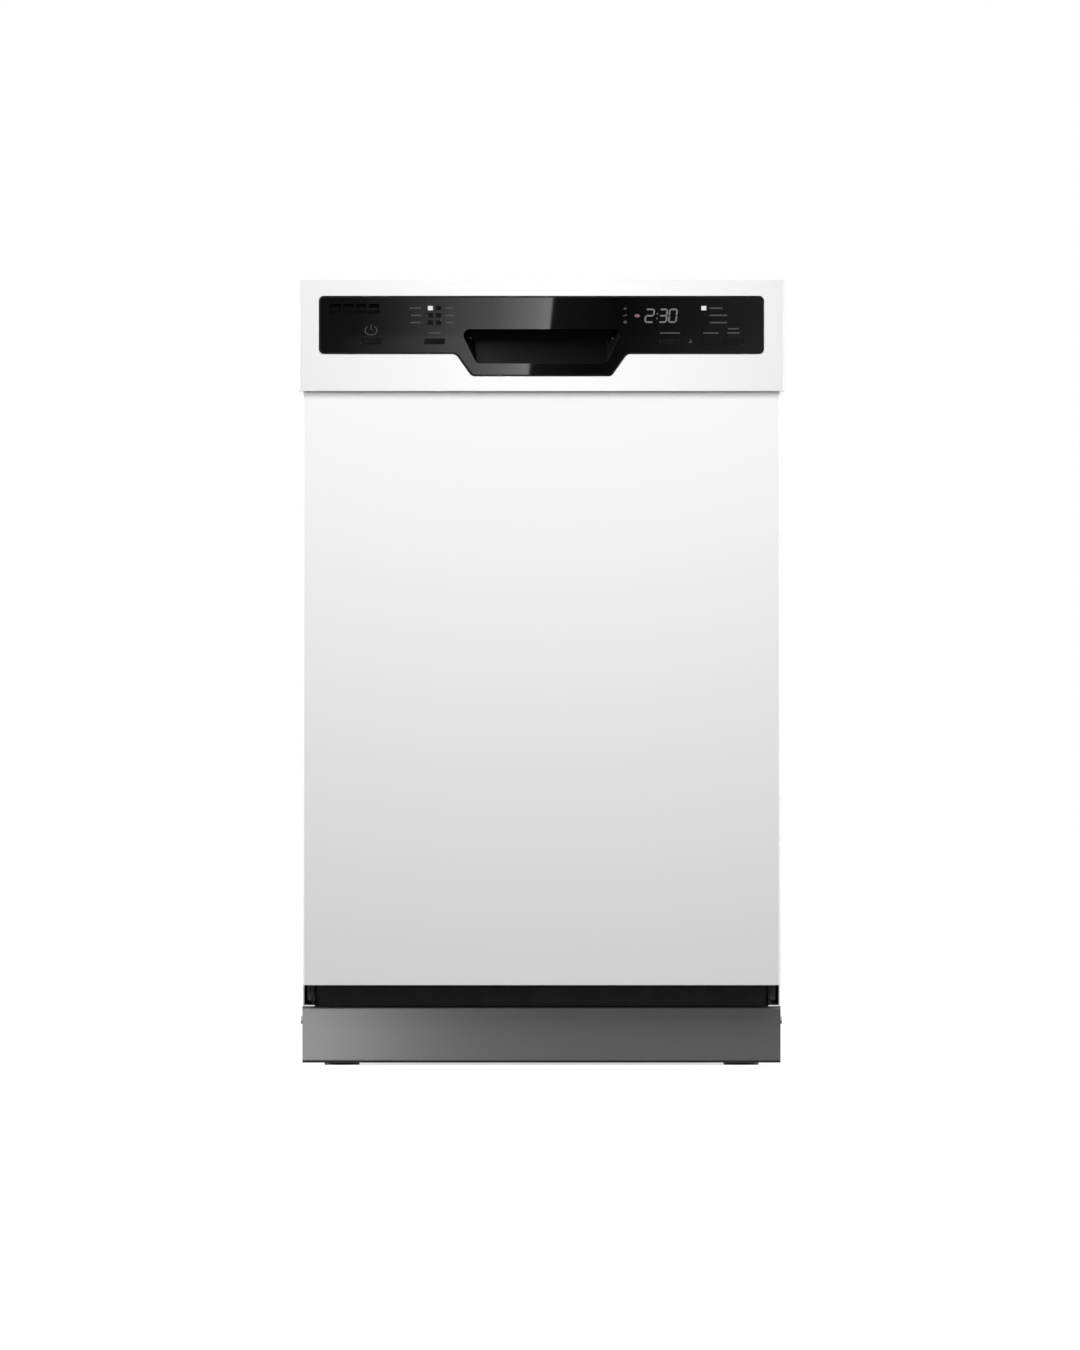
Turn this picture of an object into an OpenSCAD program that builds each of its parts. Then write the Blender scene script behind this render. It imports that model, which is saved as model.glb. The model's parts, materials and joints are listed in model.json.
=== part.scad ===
// Built-in dishwasher with a pocket handle in a full-width console, as an assembly of separate pieces.
// Frame: origin on the floor under the middle of the machine, +Z up, the door faces -Y. Millimetres.

/* [Overall] */
// Height from the floor to the top of the console, feet wound in
overall_h = 805; // [800:1:812]
// Depth from the button faces to the rear edge of the side panels
overall_d = 570; // [564:2:600]
// Width of the control console
console_w = 498; // [494:1:504]
// Width of the door panel under the console
door_w = 491; // [490:1:492]

/* [Door] */
// Height of the console
console_h = 113.5; // [112:0.5:116]
// Height of the door's lower edge above the floor
door_bottom_z = 82.5; // [82:0.5:84]
// How far the console stands proud of the door panel
console_proud = 14; // [10:1:16]
// Thickness of the painted sheet
sheet_t = 1.2; // [0.8:0.1:1.5]

/* [Fascia] */
// Width of the glossy fascia
fascia_w = 455.4; // [450:0.2:460]
// Height of the fascia's straight band
fascia_h = 59.2; // [57:0.2:61]
// Depth of the console above the fascia
fascia_drop = 16.4; // [15:0.2:18]
// How far the trapezoid under the handle hangs below the band
lip_h = 22.7; // [20:0.1:24]
// Height of the handle pocket's mouth
pocket_h = 35.3; // [33:0.1:37]
// Depth of the handle pocket behind the fascia
pocket_d = 31; // [26:1:32]
// Travel of a button
button_travel = 1.2; // [0.8:0.1:1.4]

/* [Tub] */
// Inside half width of the tub
tub_hw = 218; // [217:0.5:218.5]
// Height of the tub's floor
tub_z0 = 146; // [146:0.5:147]
// Height of the tub's ceiling
tub_z1 = 772; // [770:1:773]
// Thickness of the tub's sheet
tub_t = 1.2; // [0.8:0.1:1.4]

/* [Racks] */
// Thickness of a rack bar
bar = 4; // [3:0.5:5]
// Height of the upper rack's floor
upper_rack_z = 470; // [468:1:476]
// Height of the lower rack's floor
lower_rack_z = 180; // [178:1:184]
// Height of a rack's walls
rack_h = 118; // [100:1:124]
// Radius of a rack wheel
wheel_r = 14; // [13.5:0.1:14]

/* [Base] */
// Height of the kick plate's upper edge
kick_top_z = 60.5; // [58:0.5:64]
// Height of the kick plate's lower edge
kick_bottom_z = 2.5; // [2:0.5:8]
// How far a levelling foot winds out
foot_travel = 50; // [40:1:50]

/* [Hidden] */
$fn = 40;

// Planes from front to back
front_y = -overall_d / 2;             // button faces
fascia_y = front_y + 0.6;             // glossy fascia face
housing_y = front_y + 1;              // console face
panel_y = housing_y + console_proud;  // door panel face
liner_y = front_y + 63;               // wet face of the door liner
seal_gap = 6;                         // space between liner and tub flange
tub_y = liner_y + seal_gap;           // face of the tub flange
kick_y = tub_y + 1;                   // face of the kick plate
tray_y0 = tub_y + 8;                  // front wall of the base tray
rear_y = overall_d / 2;
tray_y1 = rear_y - 23;
tub_y1 = rear_y - 30;                 // inside of the tub's back wall

// Half widths
console_hw = console_w / 2;
door_hw = door_w / 2;
liner_hw = 236;
liner_notch_hw = 214;
flange_hw = 236;
tray_hw = 233;
side_x = 244.5;

// Heights
console_z0 = overall_h - console_h;
liner_z0 = door_bottom_z + 9.5;
liner_z1 = overall_h - 4;
flange_z0 = 134;
flange_z1 = overall_h - 5;
tray_z0 = 30;
tray_z1 = 128;
side_z0 = kick_top_z + 0.5;

// Door hinge axis
hinge_y = liner_y - 33;
hinge_z = 110;
pin_r = 4;
running_gap = 0.05;

// Fascia layout
fascia_z1 = overall_h - fascia_drop;
fascia_z0 = fascia_z1 - fascia_h;
lip_z0 = fascia_z0 - lip_h;
lip_top_hw = 87.9;
lip_bottom_hw = 71.6;
pocket_z1 = 754.8;
pocket_z0 = pocket_z1 - pocket_h;
pocket_top_hw = 83.7;
pocket_bottom_hw = 66.6;
fascia_t = 3.4;
button_z = 742.2;
button_h = 4.8;
button_w = 20.4;
button_gap = 0.5;
button_x = [-174.6, -109.6, 131.6, 173.6, 196.7];
led_w = 5.1;
led_h = 4.4;
led_rows = [776.3, 768.9, 761.5];
cycle_led_x = [-113.8, -105.5];
option_led_x = 166.3;
display_c = [118.3, 768.5];
display_size = [53.2, 20.6];
vent_x0 = -216.6;
vent_pitch = [13.1, 6.3];
vent_slot = [11.4, 4.3];
vent_z0 = 770;

// Tub and racks
sump_c = [0, -4];
sump_r = 84;
arm_c = [0, 30];
filter_c = [0, -42];
filter_r = 30;
filter_z0 = 87;
rack_y0 = liner_y + 37;
rack_y1 = tub_y1 - 20;
upper_rack_hw = 198;
lower_rack_hw = 190;
wheel_z = tub_z0 + 0.5 + wheel_r;
wheel_y = [rack_y0 + 72, rack_y1 - 60];
wheel_x0 = 199;
wheel_w = 10;
axle_r = 3;
rail_z = 524;
foot_xy = [[-205, tray_y0 + 28], [205, tray_y0 + 28], [0, tray_y1 - 30]];
foot_stem_r = 5;

// A box between two corners
module block(x0, x1, y0, y1, z0, z1) {
    translate([x0, y0, z0]) cube([x1 - x0, y1 - y0, z1 - z0]);
}

// An outline drawn in X and Z, extruded from y0 to y1
module along_y(y0, y1) {
    translate([0, y1, 0]) rotate([90, 0, 0]) linear_extrude(y1 - y0) children();
}

// An outline drawn in Y and Z, extruded from x0 to x1
module along_x(x0, x1) {
    translate([x0, 0, 0]) rotate([90, 0, 90]) linear_extrude(x1 - x0) children();
}

// An outline drawn in X and Y, extruded from z0 to z1
module along_z(z0, z1) {
    translate([0, 0, z0]) linear_extrude(z1 - z0) children();
}

module both_sides() {
    children();
    mirror([1, 0, 0]) children();
}

module rounded_rect(x0, x1, y0, y1, r) {
    hull() for (x = [x0 + r, x1 - r], y = [y0 + r, y1 - r]) translate([x, y]) circle(r, $fn = 32);
}

module trapezoid(bottom_hw, top_hw, z0, z1) {
    polygon([[-bottom_hw, z0], [bottom_hw, z0], [top_hw, z1], [-top_hw, z1]]);
}

// A cylinder along X, Y or Z from a point
module rod_x(x0, x1, y, z, r) translate([x0, y, z]) rotate([0, 90, 0]) cylinder(h = x1 - x0, r = r);
module rod_y(x, y0, y1, z, r) translate([x, y0, z]) rotate([-90, 0, 0]) cylinder(h = y1 - y0, r = r);
module rod_z(x, y, z0, z1, r) translate([x, y, z0]) cylinder(h = z1 - z0, r = r);

// A flat lattice of bars between two corners
module lattice(a0, a1, b0, b1, na, nb) {
    for (i = [0 : na]) translate([a0 + (a1 - a0 - bar) * i / na, b0]) square([bar, b1 - b0]);
    for (j = [0 : nb]) translate([a0, b0 + (b1 - b0 - bar) * j / nb]) square([a1 - a0, bar]);
}

// ---------------------------------------------------------------- cabinet

module tub_profile(grow) {
    rounded_rect(-tub_hw - grow, tub_hw + grow, tub_z0 - grow, tub_z1 + grow, 10 + grow);
}

module tub() {
    strike_slot = [12, 788, 797];
    color("silver") difference() {
        union() {
            along_y(tub_y, tub_y1 + tub_t) tub_profile(tub_t);
            along_y(tub_y, tub_y + tub_t) rounded_rect(-flange_hw, flange_hw, flange_z0, flange_z1, 5);
        }
        along_y(tub_y - 1, tub_y1) tub_profile(0);
        rod_z(sump_c[0], sump_c[1], tub_z0 - 5, tub_z0 + 5, sump_r);
        block(-strike_slot[0], strike_slot[0], tub_y - 1, tub_y + 2, strike_slot[1], strike_slot[2]);
    }
}

module tub_gasket() {
    clearance = 0.4;
    color("dimgray") along_y(liner_y + clearance, tub_y) difference() {
        rounded_rect(-tub_hw - 10, tub_hw + 10, 100, tub_z1 + 10, 14);
        rounded_rect(-tub_hw - 1.5, tub_hw + 1.5, 90, tub_z1 + 1.5, 10);
        translate([-300, 60]) square([600, tub_z0 - 60]);
    }
}

module base_tray() {
    wall = 3;
    boss_r = 11;
    color([0.09, 0.09, 0.1]) difference() {
        union() {
            difference() {
                along_z(tray_z0, tray_z1) rounded_rect(-tray_hw, tray_hw, tray_y0, tray_y1, 8);
                along_z(tray_z0 + wall, tray_z1 + 1)
                    rounded_rect(-tray_hw + wall, tray_hw - wall, tray_y0 + wall, tray_y1 - wall, 5);
            }
            for (p = foot_xy) rod_z(p[0], p[1], tray_z0 + 1, tray_z0 + 32, boss_r);
            both_sides() block(tray_hw - 1, kick_hw - 1.1, kick_screw[0] - 6, kick_screw[0] + 6,
                               kick_screw[1] - 9, kick_screw[1] + 9);
        }
        both_sides() rod_x(tray_hw, kick_hw, kick_screw[0], kick_screw[1], 2);
        for (p = foot_xy) rod_z(p[0], p[1], tray_z0 - 1, tray_z0 + 40, foot_stem_r + running_gap);
        both_sides() block(217, 228, tray_y0 - 1, tray_y0 + 4, 84, 100);
        rod_y(inlet_c[0], tray_y1 - 5, tray_y1 + 1, inlet_c[1], 15);
        rod_y(drain_c[0], tray_y1 - 5, tray_y1 + 1, drain_c[1], 12);
        block(terminal_x[0] - 1, terminal_x[1] + 1, tray_y1 - 5, tray_y1 + 1, 44, 96);
    }
}

module side_panel() {
    front = tub_y + 3;
    color("gainsboro") {
        block(side_x - sheet_t, side_x, front, rear_y, side_z0, flange_z1);
        block(tray_hw + 0.2, side_x, front + 20, tray_y1, side_z0, side_z0 + sheet_t);
        block(flange_hw - 8, side_x, rear_y - sheet_t, rear_y, side_z0, flange_z1);
    }
}

module side_panel_left() mirror([1, 0, 0]) side_panel();
module side_panel_right() side_panel();

module sound_blanket() {
    gap = 0.6;
    t = 11;
    x = tub_hw + tub_t + gap;
    y = tub_y1 + tub_t + gap;
    z = tub_z1 + tub_t + gap;
    front = tub_y + 12;
    color([0.2, 0.2, 0.22]) {
        block(-x - t, x + t, front, y, z, z + t);
        block(-x - t, x + t, y, y + t, tub_z0 + 4, z + t);
        both_sides() block(x, x + t, front, y, tub_z0 + 4, z);
    }
}

module front_top_rail() {
    z = flange_z1 - 2;
    y = tub_y + tub_t;
    tongue_z = 790;
    color("silver") {
        block(-side_x + 2, side_x - 2, y, y + 35, z, z + sheet_t);
        block(-flange_hw, flange_hw, y, y + sheet_t, 788, z + 0.5);
        block(-10, 10, tub_y - 24, y + 1, tongue_z, tongue_z + 3.5);
    }
}

bracket_x = 150;
bracket_y = tub_y + 17;
screw_hole_r = 2.25;

module worktop_brackets() {
    x = [bracket_x - 12, bracket_x + 12];
    z0 = flange_z1 - 2 + sheet_t;
    color("silver") both_sides() difference() {
        union() {
            block(x[0], x[1], bracket_y - 11, bracket_y + 11, overall_h - 1.5, overall_h);
            block(x[0], x[1], bracket_y + 9.5, bracket_y + 11, z0, overall_h - 1);
            block(x[0], x[1], bracket_y + 9.5, bracket_y + 17, z0, z0 + 1.5);
        }
        rod_z(bracket_x, bracket_y, overall_h - 3, overall_h + 1, screw_hole_r);
    }
}

kick_hw = 245.5;
kick_screw = [tray_y0 + 9, 46];

module kick_plate() {
    t = 1;
    bend = 3;
    back = tray_y0 - 0.3;
    color([0.45, 0.45, 0.46]) difference() {
        union() {
            along_x(-kick_hw, kick_hw) difference() {
                rounded_rect(kick_y, back + 10, kick_bottom_z, kick_top_z, bend);
                rounded_rect(kick_y + t, back + 20, kick_bottom_z + t, kick_top_z - t, bend - t);
                translate([back, 0]) square([20, kick_top_z + 1]);
            }
            both_sides() along_x(kick_hw - t, kick_hw)
                rounded_rect(kick_y, kick_y + 25, kick_bottom_z, kick_top_z, bend);
        }
        both_sides() rod_x(kick_hw - t - 1, kick_hw + 1, kick_screw[0], kick_screw[1], 2.2);
    }
}

module kick_plate_screws() {
    color("silver") both_sides() {
        rod_x(kick_hw + 0.05, kick_hw + 1.4, kick_screw[0], kick_screw[1], 3.8);
        rod_x(tray_hw + 0.1, kick_hw + 0.1, kick_screw[0], kick_screw[1], 1.9);
    }
}

post_r = 9;

module sump() {
    z1 = tub_z0 - tub_t;
    bottom_r = 66;
    z0 = 66;
    wall = 3;
    color("darkgray") {
        translate([sump_c[0], sump_c[1], 0]) {
            rotate_extrude() polygon([
                [0, z0], [bottom_r, z0], [sump_r + wall, z1 - 12], [sump_r + 8, z1 - 3], [sump_r + 8, z1],
                [sump_r, z1], [sump_r, z1 - 10], [bottom_r - wall, z0 + wall], [0, z0 + wall]
            ]);
            rotate([0, 0, 40]) rod_x(bottom_r - 2, 112, 0, 84, 14);
            rotate([0, 0, 132]) rod_x(bottom_r - 2, 108, 0, 84, 10);
        }
        difference() {
            rod_z(arm_c[0], arm_c[1], z0 + 1, tub_z0 + 26, post_r);
            rod_z(arm_c[0], arm_c[1], z0 + 10, tub_z0 + 30, post_r - 2.5);
        }
    }
}

module wash_pump() {
    c = [128, 84];
    color("gray") {
        rod_y(c[0], 110, 205, c[1], 38);
        rod_y(c[0], 205.1, 214, c[1], 30);
        color("darkslategray") rod_y(c[0], 84, 109.9, c[1], 46);
        rod_y(c[0] - 26, 66, 84, c[1], 14);
    }
}

drain_c = [-110, 70];

module drain_pump() {
    color("ivory") {
        rod_y(drain_c[0], 120, 182, drain_c[1] + 12, 27);
        rod_y(drain_c[0], 182, rear_y - 2, drain_c[1], 9.5);
        rod_y(drain_c[0] + 14, 100, 120, drain_c[1] + 12, 10);
        rod_y(drain_c[0], tray_y1 + 0.2, tray_y1 + 2, drain_c[1], 14);
    }
}

inlet_c = [-190, 78];

module inlet_valve() {
    thread_r = 13.2;
    color("white") difference() {
        union() {
            rod_y(inlet_c[0], tray_y1 - 18, rear_y - 3, inlet_c[1], thread_r);
            rod_y(inlet_c[0], tray_y1 + 0.2, tray_y1 + 3, inlet_c[1], 17);
            block(inlet_c[0] - 16, inlet_c[0] + 16, tray_y1 - 52, tray_y1 - 16,
                  inlet_c[1] - 16, inlet_c[1] + 16);
        }
        rod_y(inlet_c[0], tray_y1 - 12, rear_y, inlet_c[1], 8);
    }
    color("dimgray") block(inlet_c[0] - 12, inlet_c[0] + 12, tray_y1 - 48, tray_y1 - 22,
                           inlet_c[1] + 16.1, inlet_c[1] + 40);
}

terminal_x = [120, 190];
cable_c = [155, 62];
cable_r = 11.1;

module terminal_box() {
    color([0.15, 0.15, 0.16]) difference() {
        union() {
            block(terminal_x[0], terminal_x[1], tray_y1 - 34, tray_y1 + 6, 45, 95);
            rod_y(cable_c[0], tray_y1 + 5, tray_y1 + 14, cable_c[1], cable_r + 4);
        }
        block(terminal_x[0] + 2.5, terminal_x[1] - 2.5, tray_y1 - 31.5, tray_y1 + 3, 47.5, 92.5);
        rod_y(cable_c[0], tray_y1 + 1, tray_y1 + 15, cable_c[1], cable_r);
    }
}

module water_inlet_chamber() {
    x0 = -side_x + sheet_t + 0.8;
    color("aliceblue") {
        difference() {
            along_x(x0, x0 + 10) rounded_rect(-40, 190, 210, 610, 24);
            along_x(x0 - 1, x0 + 4) for (k = [0 : 3])
                rounded_rect(-26, 176, 232 + 92 * k, 308 + 92 * k, 12);
        }
        rod_z(x0 + 5, 60, 150, 210.5, 4.5);
    }
}

module feed_pipe() {
    spout_z = upper_rack_z - 7;
    pipe_y = tub_y1 - 12;
    color("slategray") {
        along_y(pipe_y, tub_y1 - 1) rounded_rect(-15, 15, tub_z0 + 1, spout_z + 20, 8);
        block(-11, 11, arm_c[1] + 30, pipe_y + 5, tub_z0 + 1.8, tub_z0 + 9);
        rod_y(0, rack_y1 + 1.5, pipe_y + 1, spout_z, 9);
    }
}

roller_y = [tub_y + 26, tub_y + 96];
roller_r = 9;

module rail_rollers() {
    color("white") both_sides() for (y = roller_y, side = [-1, 1]) {
        rod_x(tub_hw - 7, tub_hw - 0.1, y, rail_z + side * (roller_r + 8.5), roller_r);
    }
}

module filter_plate() {
    z = tub_z0 + 0.1;
    color("silver") difference() {
        rod_z(sump_c[0], sump_c[1], z, z + 1.4, sump_r + 5);
        rod_z(filter_c[0], filter_c[1], z - 1, z + 3, filter_r + 0.8);
        rod_z(arm_c[0], arm_c[1], z - 1, z + 3, post_r + 1);
    }
}

bracket_plate_x = tray_hw + 0.2;

module hinge_brackets() {
    t = 3;
    foot_z = side_z0 + sheet_t;
    color("silver") both_sides() difference() {
        union() {
            rod_x(bracket_plate_x, bracket_plate_x + t, hinge_y, hinge_z, 10);
            along_x(bracket_plate_x, bracket_plate_x + t) polygon([
                [hinge_y, hinge_z - 9], [tray_y0 + 6, hinge_z - 9], [tray_y0 + 30, foot_z],
                [tray_y0 + 70, foot_z], [tray_y0 + 70, 126], [tray_y0 + 6, 126],
                [tray_y0, hinge_z + 9], [hinge_y, hinge_z + 9]
            ]);
        }
        rod_x(bracket_plate_x - 1, bracket_plate_x + t + 1, hinge_y, hinge_z, pin_r + running_gap);
    }
}

spring_x = 222.5;
lug_y = hinge_y + 10;
lug_z = hinge_z - 18;

module door_springs() {
    coil_r = 5.4;
    wire_r = 1.2;
    turns = 34;
    pitch = 2 * wire_r + 0.2;
    y0 = tray_y0 + 24;
    y1 = y0 + pitch * turns;
    color("gray") both_sides() {
        for (k = [0 : turns - 1])
            translate([spring_x, y0 + pitch * k, lug_z]) rotate([90, 0, 0])
                rotate_extrude() translate([coil_r, 0]) circle(wire_r, $fn = 16);
        rod_y(spring_x, lug_y + 3.2, y0 - 2, lug_z, 1.5);
        rod_y(spring_x, y1, y1 + 24, lug_z, 1.5);
    }
}

// ------------------------------------------------------------------- door

module door_outer_panel() {
    back = liner_y - 4;
    top = console_z0 + 9;
    corner = 3.5;
    color("whitesmoke") difference() {
        along_z(door_bottom_z, top) rounded_rect(-door_hw, door_hw, panel_y, back + 20, corner);
        along_z(door_bottom_z + sheet_t, top + 1)
            rounded_rect(-door_hw + sheet_t, door_hw - sheet_t, panel_y + sheet_t, back + 40,
                         corner - sheet_t);
        block(-door_hw - 1, door_hw + 1, back, back + 50, door_bottom_z - 1, top + 2);
        both_sides() block(liner_notch_hw, 240, panel_y + 2.5, back + 1,
                           door_bottom_z - 1, door_bottom_z + 3);
    }
}

module door_inner_liner() {
    t = 1;
    front = liner_y - 38;
    field_hw = 195;
    field = [165, 755];
    press = 5;
    color("silver") difference() {
        union() {
            along_y(liner_y - t, liner_y) difference() {
                rounded_rect(-liner_hw, liner_hw, liner_z0, liner_z1, 4);
                both_sides() translate([liner_notch_hw, liner_z0 - 1]) square([40, 131 - liner_z0]);
            }
            both_sides() block(liner_hw - t, liner_hw, front, liner_y - 0.5, 134, liner_z1 - 4);
            block(-liner_notch_hw + 4, liner_notch_hw - 4, front, liner_y - 0.5, liner_z0, liner_z0 + t);
            along_y(liner_y - press - t, liner_y - 0.5)
                rounded_rect(-field_hw - t, field_hw + t, field[0] - t, field[1] + t, 25);
        }
        along_y(liner_y - press, liner_y + 1) rounded_rect(-field_hw, field_hw, field[0], field[1], 24);
        block(dispenser[0] - 1, dispenser[1] + 1, liner_y - 20, liner_y + 1,
              dispenser[2] - 1, dispenser[3] + 1);
        block(-15, 15, liner_y - 3, liner_y + 1, 787, 798);
    }
}

module door_insulation() {
    color([0.25, 0.23, 0.2]) difference() {
        block(-222, 222, panel_y + sheet_t + 1, panel_y + 15, liner_z0 + 30, console_z0 - 8);
        both_sides() block(200, 230, panel_y, liner_y, 60, 140);
    }
}

// The fascia's outline: a band with a trapezoid hanging from its middle
module fascia_outline(grow) {
    fillet = 7;
    offset(delta = grow) offset(r = -fillet, $fn = 48) offset(delta = fillet) union() {
        rounded_rect(-fascia_w / 2, fascia_w / 2, fascia_z0, fascia_z1, 5);
        offset(r = 6, $fn = 48) offset(delta = -6)
            trapezoid(lip_bottom_hw, lip_top_hw + 6.5, lip_z0, fascia_z0 + 9.5);
    }
}

module pocket_outline(grow) {
    r = 6.5;
    offset(delta = grow) offset(r = r, $fn = 40) offset(delta = -r)
        trapezoid(pocket_bottom_hw, pocket_top_hw, pocket_z0, pocket_z1);
}

module console_housing() {
    wall = 2.5;
    front_wall = 4.5;
    ledge_y = fascia_y + fascia_t + 0.1;
    color("white") difference() {
        along_z(console_z0, overall_h) rounded_rect(-console_hw, console_hw, housing_y, liner_y + 20, 3);
        block(-console_hw + wall, console_hw - wall, housing_y + front_wall, liner_y + 30,
              console_z0 + wall, overall_h - 3);
        block(-console_hw + wall, console_hw - wall, panel_y - 1, liner_y + 30,
              console_z0 - 1, console_z0 + 5);
        block(-console_hw - 1, console_hw + 1, liner_y, liner_y + 50, console_z0 - 1, overall_h + 1);
        along_y(housing_y - 1, ledge_y) fascia_outline(0.4);
        along_y(housing_y - 1, housing_y + front_wall + 1) fascia_outline(-4);
    }
}

module button_outline(x, grow) {
    rounded_rect(x - button_w / 2 - grow, x + button_w / 2 + grow,
                 button_z - button_h / 2 - grow, button_z + button_h / 2 + grow, 1);
}

module led_outlines(xs, rows, grow) {
    for (x = xs, z = rows)
        translate([x - led_w / 2 - grow, z - led_h / 2 - grow]) square([led_w + 2 * grow, led_h + 2 * grow]);
}

module display_outline(grow) {
    rounded_rect(display_c[0] - display_size[0] / 2 - grow, display_c[0] + display_size[0] / 2 + grow,
                 display_c[1] - display_size[1] / 2 - grow, display_c[1] + display_size[1] / 2 + grow, 1);
}

module vent_slots() {
    for (i = [0 : 3], j = [0 : 1])
        translate([vent_x0 + vent_pitch[0] * i, vent_z0 + vent_pitch[1] * j]) square(vent_slot);
}

module console_fascia() {
    color([0.05, 0.05, 0.055]) difference() {
        along_y(fascia_y, fascia_y + fascia_t) fascia_outline(0);
        along_y(fascia_y - 1, fascia_y + 5) {
            pocket_outline(0);
            vent_slots();
            display_outline(0.1);
            led_outlines(cycle_led_x, led_rows, 0.15);
            led_outlines([option_led_x], led_rows, 0.15);
            for (x = button_x) button_outline(x, button_gap);
        }
        along_y(fascia_y - 1, fascia_y + 0.8) for (x = button_x) translate([0, -1.2]) button_outline(x, 1.9);
    }
}

module handle_pocket() {
    wall = 2;
    y0 = fascia_y + fascia_t;
    back = y0 + pocket_d;
    catch_z = pocket_z1 + 13;
    color([0.06, 0.06, 0.065]) difference() {
        union() {
            hull() {
                along_y(y0, y0 + 1) pocket_outline(wall);
                along_y(back - 1, back)
                    trapezoid(pocket_bottom_hw + 2, pocket_bottom_hw + 4.5, pocket_z0 - 1, pocket_z1);
            }
            block(-76, 76, y0 + 8, back, pocket_z1 - 8, catch_z + wall);
        }
        hull() {
            along_y(y0 - 1, y0) pocket_outline(0);
            along_y(back - wall - 1, back - wall)
                trapezoid(pocket_bottom_hw, pocket_bottom_hw + 2.5, pocket_z0 + 1, pocket_z1 - 2);
        }
        block(-74, 74, y0 + 10, back - wall, pocket_z1 - 10, catch_z);
    }
}

module display_lens() {
    color([0.01, 0.01, 0.012]) along_y(fascia_y + 0.1, fascia_y + 2.4) display_outline(0);
}

module board(x0, x1, z0, z1, y) {
    color("darkgreen") block(x0, x1, y, y + 1.6, z0, z1);
}

module control_board() {
    y = fascia_y + 10.5;
    relay = 16;
    board(-228, -97, 734, 762, y);
    board(97, 226, 734, 785, y);
    color("black") for (x = button_x) block(x - 3, x + 3, y - 2.4, y - 0.1, button_z - 3, button_z + 3);
    color("black") block(display_c[0] - 25, display_c[0] + 25, y - 7, y - 0.1, 759, 778);
    color("royalblue") for (k = [0 : 2])
        block(160 + 20 * k, 160 + 20 * k + relay, y + 1.7, y + 17, 760, 776);
}

module led_lens(xs, rows) {
    along_y(fascia_y - 0.05, fascia_y + 3) led_outlines(xs, rows, 0);
}

module led_lenses_lit() {
    color("white") led_lens([cycle_led_x[0], option_led_x], [led_rows[0]]);
}

module led_lenses_off() {
    color([0.03, 0.03, 0.03]) {
        led_lens([cycle_led_x[1]], [led_rows[0]]);
        led_lens([cycle_led_x[0], cycle_led_x[1], option_led_x], [led_rows[1], led_rows[2]]);
    }
}

module vent_duct() {
    x = [vent_x0 - 3, vent_x0 + 54];
    z = [vent_z0 - 3, vent_z0 + 14];
    y0 = fascia_y + fascia_t + 0.1;
    color([0.02, 0.02, 0.02]) difference() {
        block(x[0], x[1], y0, y0 + 26, z[0], z[1]);
        block(x[0] + 1.5, x[1] - 1.5, y0 - 1, y0 + 24.5, z[0] + 1.5, z[1] - 1.5);
        block(x[0] + 8, x[1] - 8, y0 + 8, y0 + 20, z[0] - 1, z[0] + 2);
    }
}

arm_plate_x = 229.6;

module hinge_arms() {
    t = 3;
    top = 300;
    color("silver") both_sides() {
        union() {
            rod_x(arm_plate_x, arm_plate_x + t, hinge_y, hinge_z, 13);
            rod_x(arm_plate_x, arm_plate_x + t, lug_y, lug_z, 6);
            along_x(arm_plate_x, arm_plate_x + t) polygon([
                [lug_y + 6, lug_z], [hinge_y + 13, hinge_z], [hinge_y + 20, hinge_z + 40],
                [hinge_y + 20, top], [hinge_y - 5, top], [hinge_y - 8, hinge_z + 40],
                [hinge_y - 13, hinge_z], [lug_y - 6, lug_z]
            ]);
            rod_x(arm_plate_x + 1, bracket_plate_x + 4, hinge_y, hinge_z, pin_r);
            rod_x(bracket_plate_x + 3.5, bracket_plate_x + 5, hinge_y, hinge_z, pin_r + 2.5);
            rod_x(spring_x - 4, arm_plate_x + 1, lug_y, lug_z, 2.5);
            block(arm_plate_x + 1, liner_hw - 1.1, hinge_y + 2, hinge_y + 18, top - 60, top - 20);
        }
    }
}

module door_bottom_seal() {
    color([0.15, 0.15, 0.16]) {
        block(-212, 212, liner_y + 0.1, liner_y + 2, 114, 139);
        block(-212, 212, liner_y + 1.9, liner_y + 4.4, 132, 138);
    }
}

door_screw_z = [180, 330, 480, 630];

module door_screws() {
    color("silver") both_sides() for (z = door_screw_z) {
        rod_y(liner_hw - 4, liner_y + 0.05, liner_y + 1.3, z, 3.2);
        rod_y(liner_hw - 4, liner_y - 9, liner_y - 1.1, z, 1.7);
    }
}

// Left, right, bottom and top edges of the dispenser's body
dispenser = [-48, 98, 402, 498];
cup = [-42, 28, 412, 488];
cap_c = [64, 450];
cap_r = 17;

module dispenser_body() {
    face = liner_y + 1.6;
    color("darkgray") difference() {
        union() {
            block(dispenser[0], dispenser[1], liner_y - 32, liner_y, dispenser[2], dispenser[3]);
            along_y(liner_y - 4.9, face)
                rounded_rect(dispenser[0] - 9, dispenser[1] + 9, dispenser[2] - 9, dispenser[3] + 9, 8);
        }
        along_y(liner_y - 24, face + 1) rounded_rect(cup[0], cup[1], cup[2], cup[3], 8);
        rod_y(cap_c[0], liner_y - 8, face + 1, cap_c[1], cap_r + 0.5);
    }
}

module dispenser_lid() {
    y = liner_y + 1.9;
    color("lightgray") {
        along_y(y, y + 2.2) rounded_rect(cup[0] - 4, cup[1] + 4, cup[2] - 4, cup[3] + 4, 6);
        along_y(y + 2, y + 5) rounded_rect(cup[0] + 12, cup[1] - 12, cup[3] - 16, cup[3] - 6, 3);
    }
}

module rinse_aid_cap() {
    y = liner_y - 7.5;
    color("steelblue") {
        rod_y(cap_c[0], y, liner_y + 3.2, cap_c[1], cap_r);
        block(cap_c[0] - 12, cap_c[0] + 12, liner_y + 3, liner_y + 6, cap_c[1] - 2.5, cap_c[1] + 2.5);
    }
}

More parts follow.
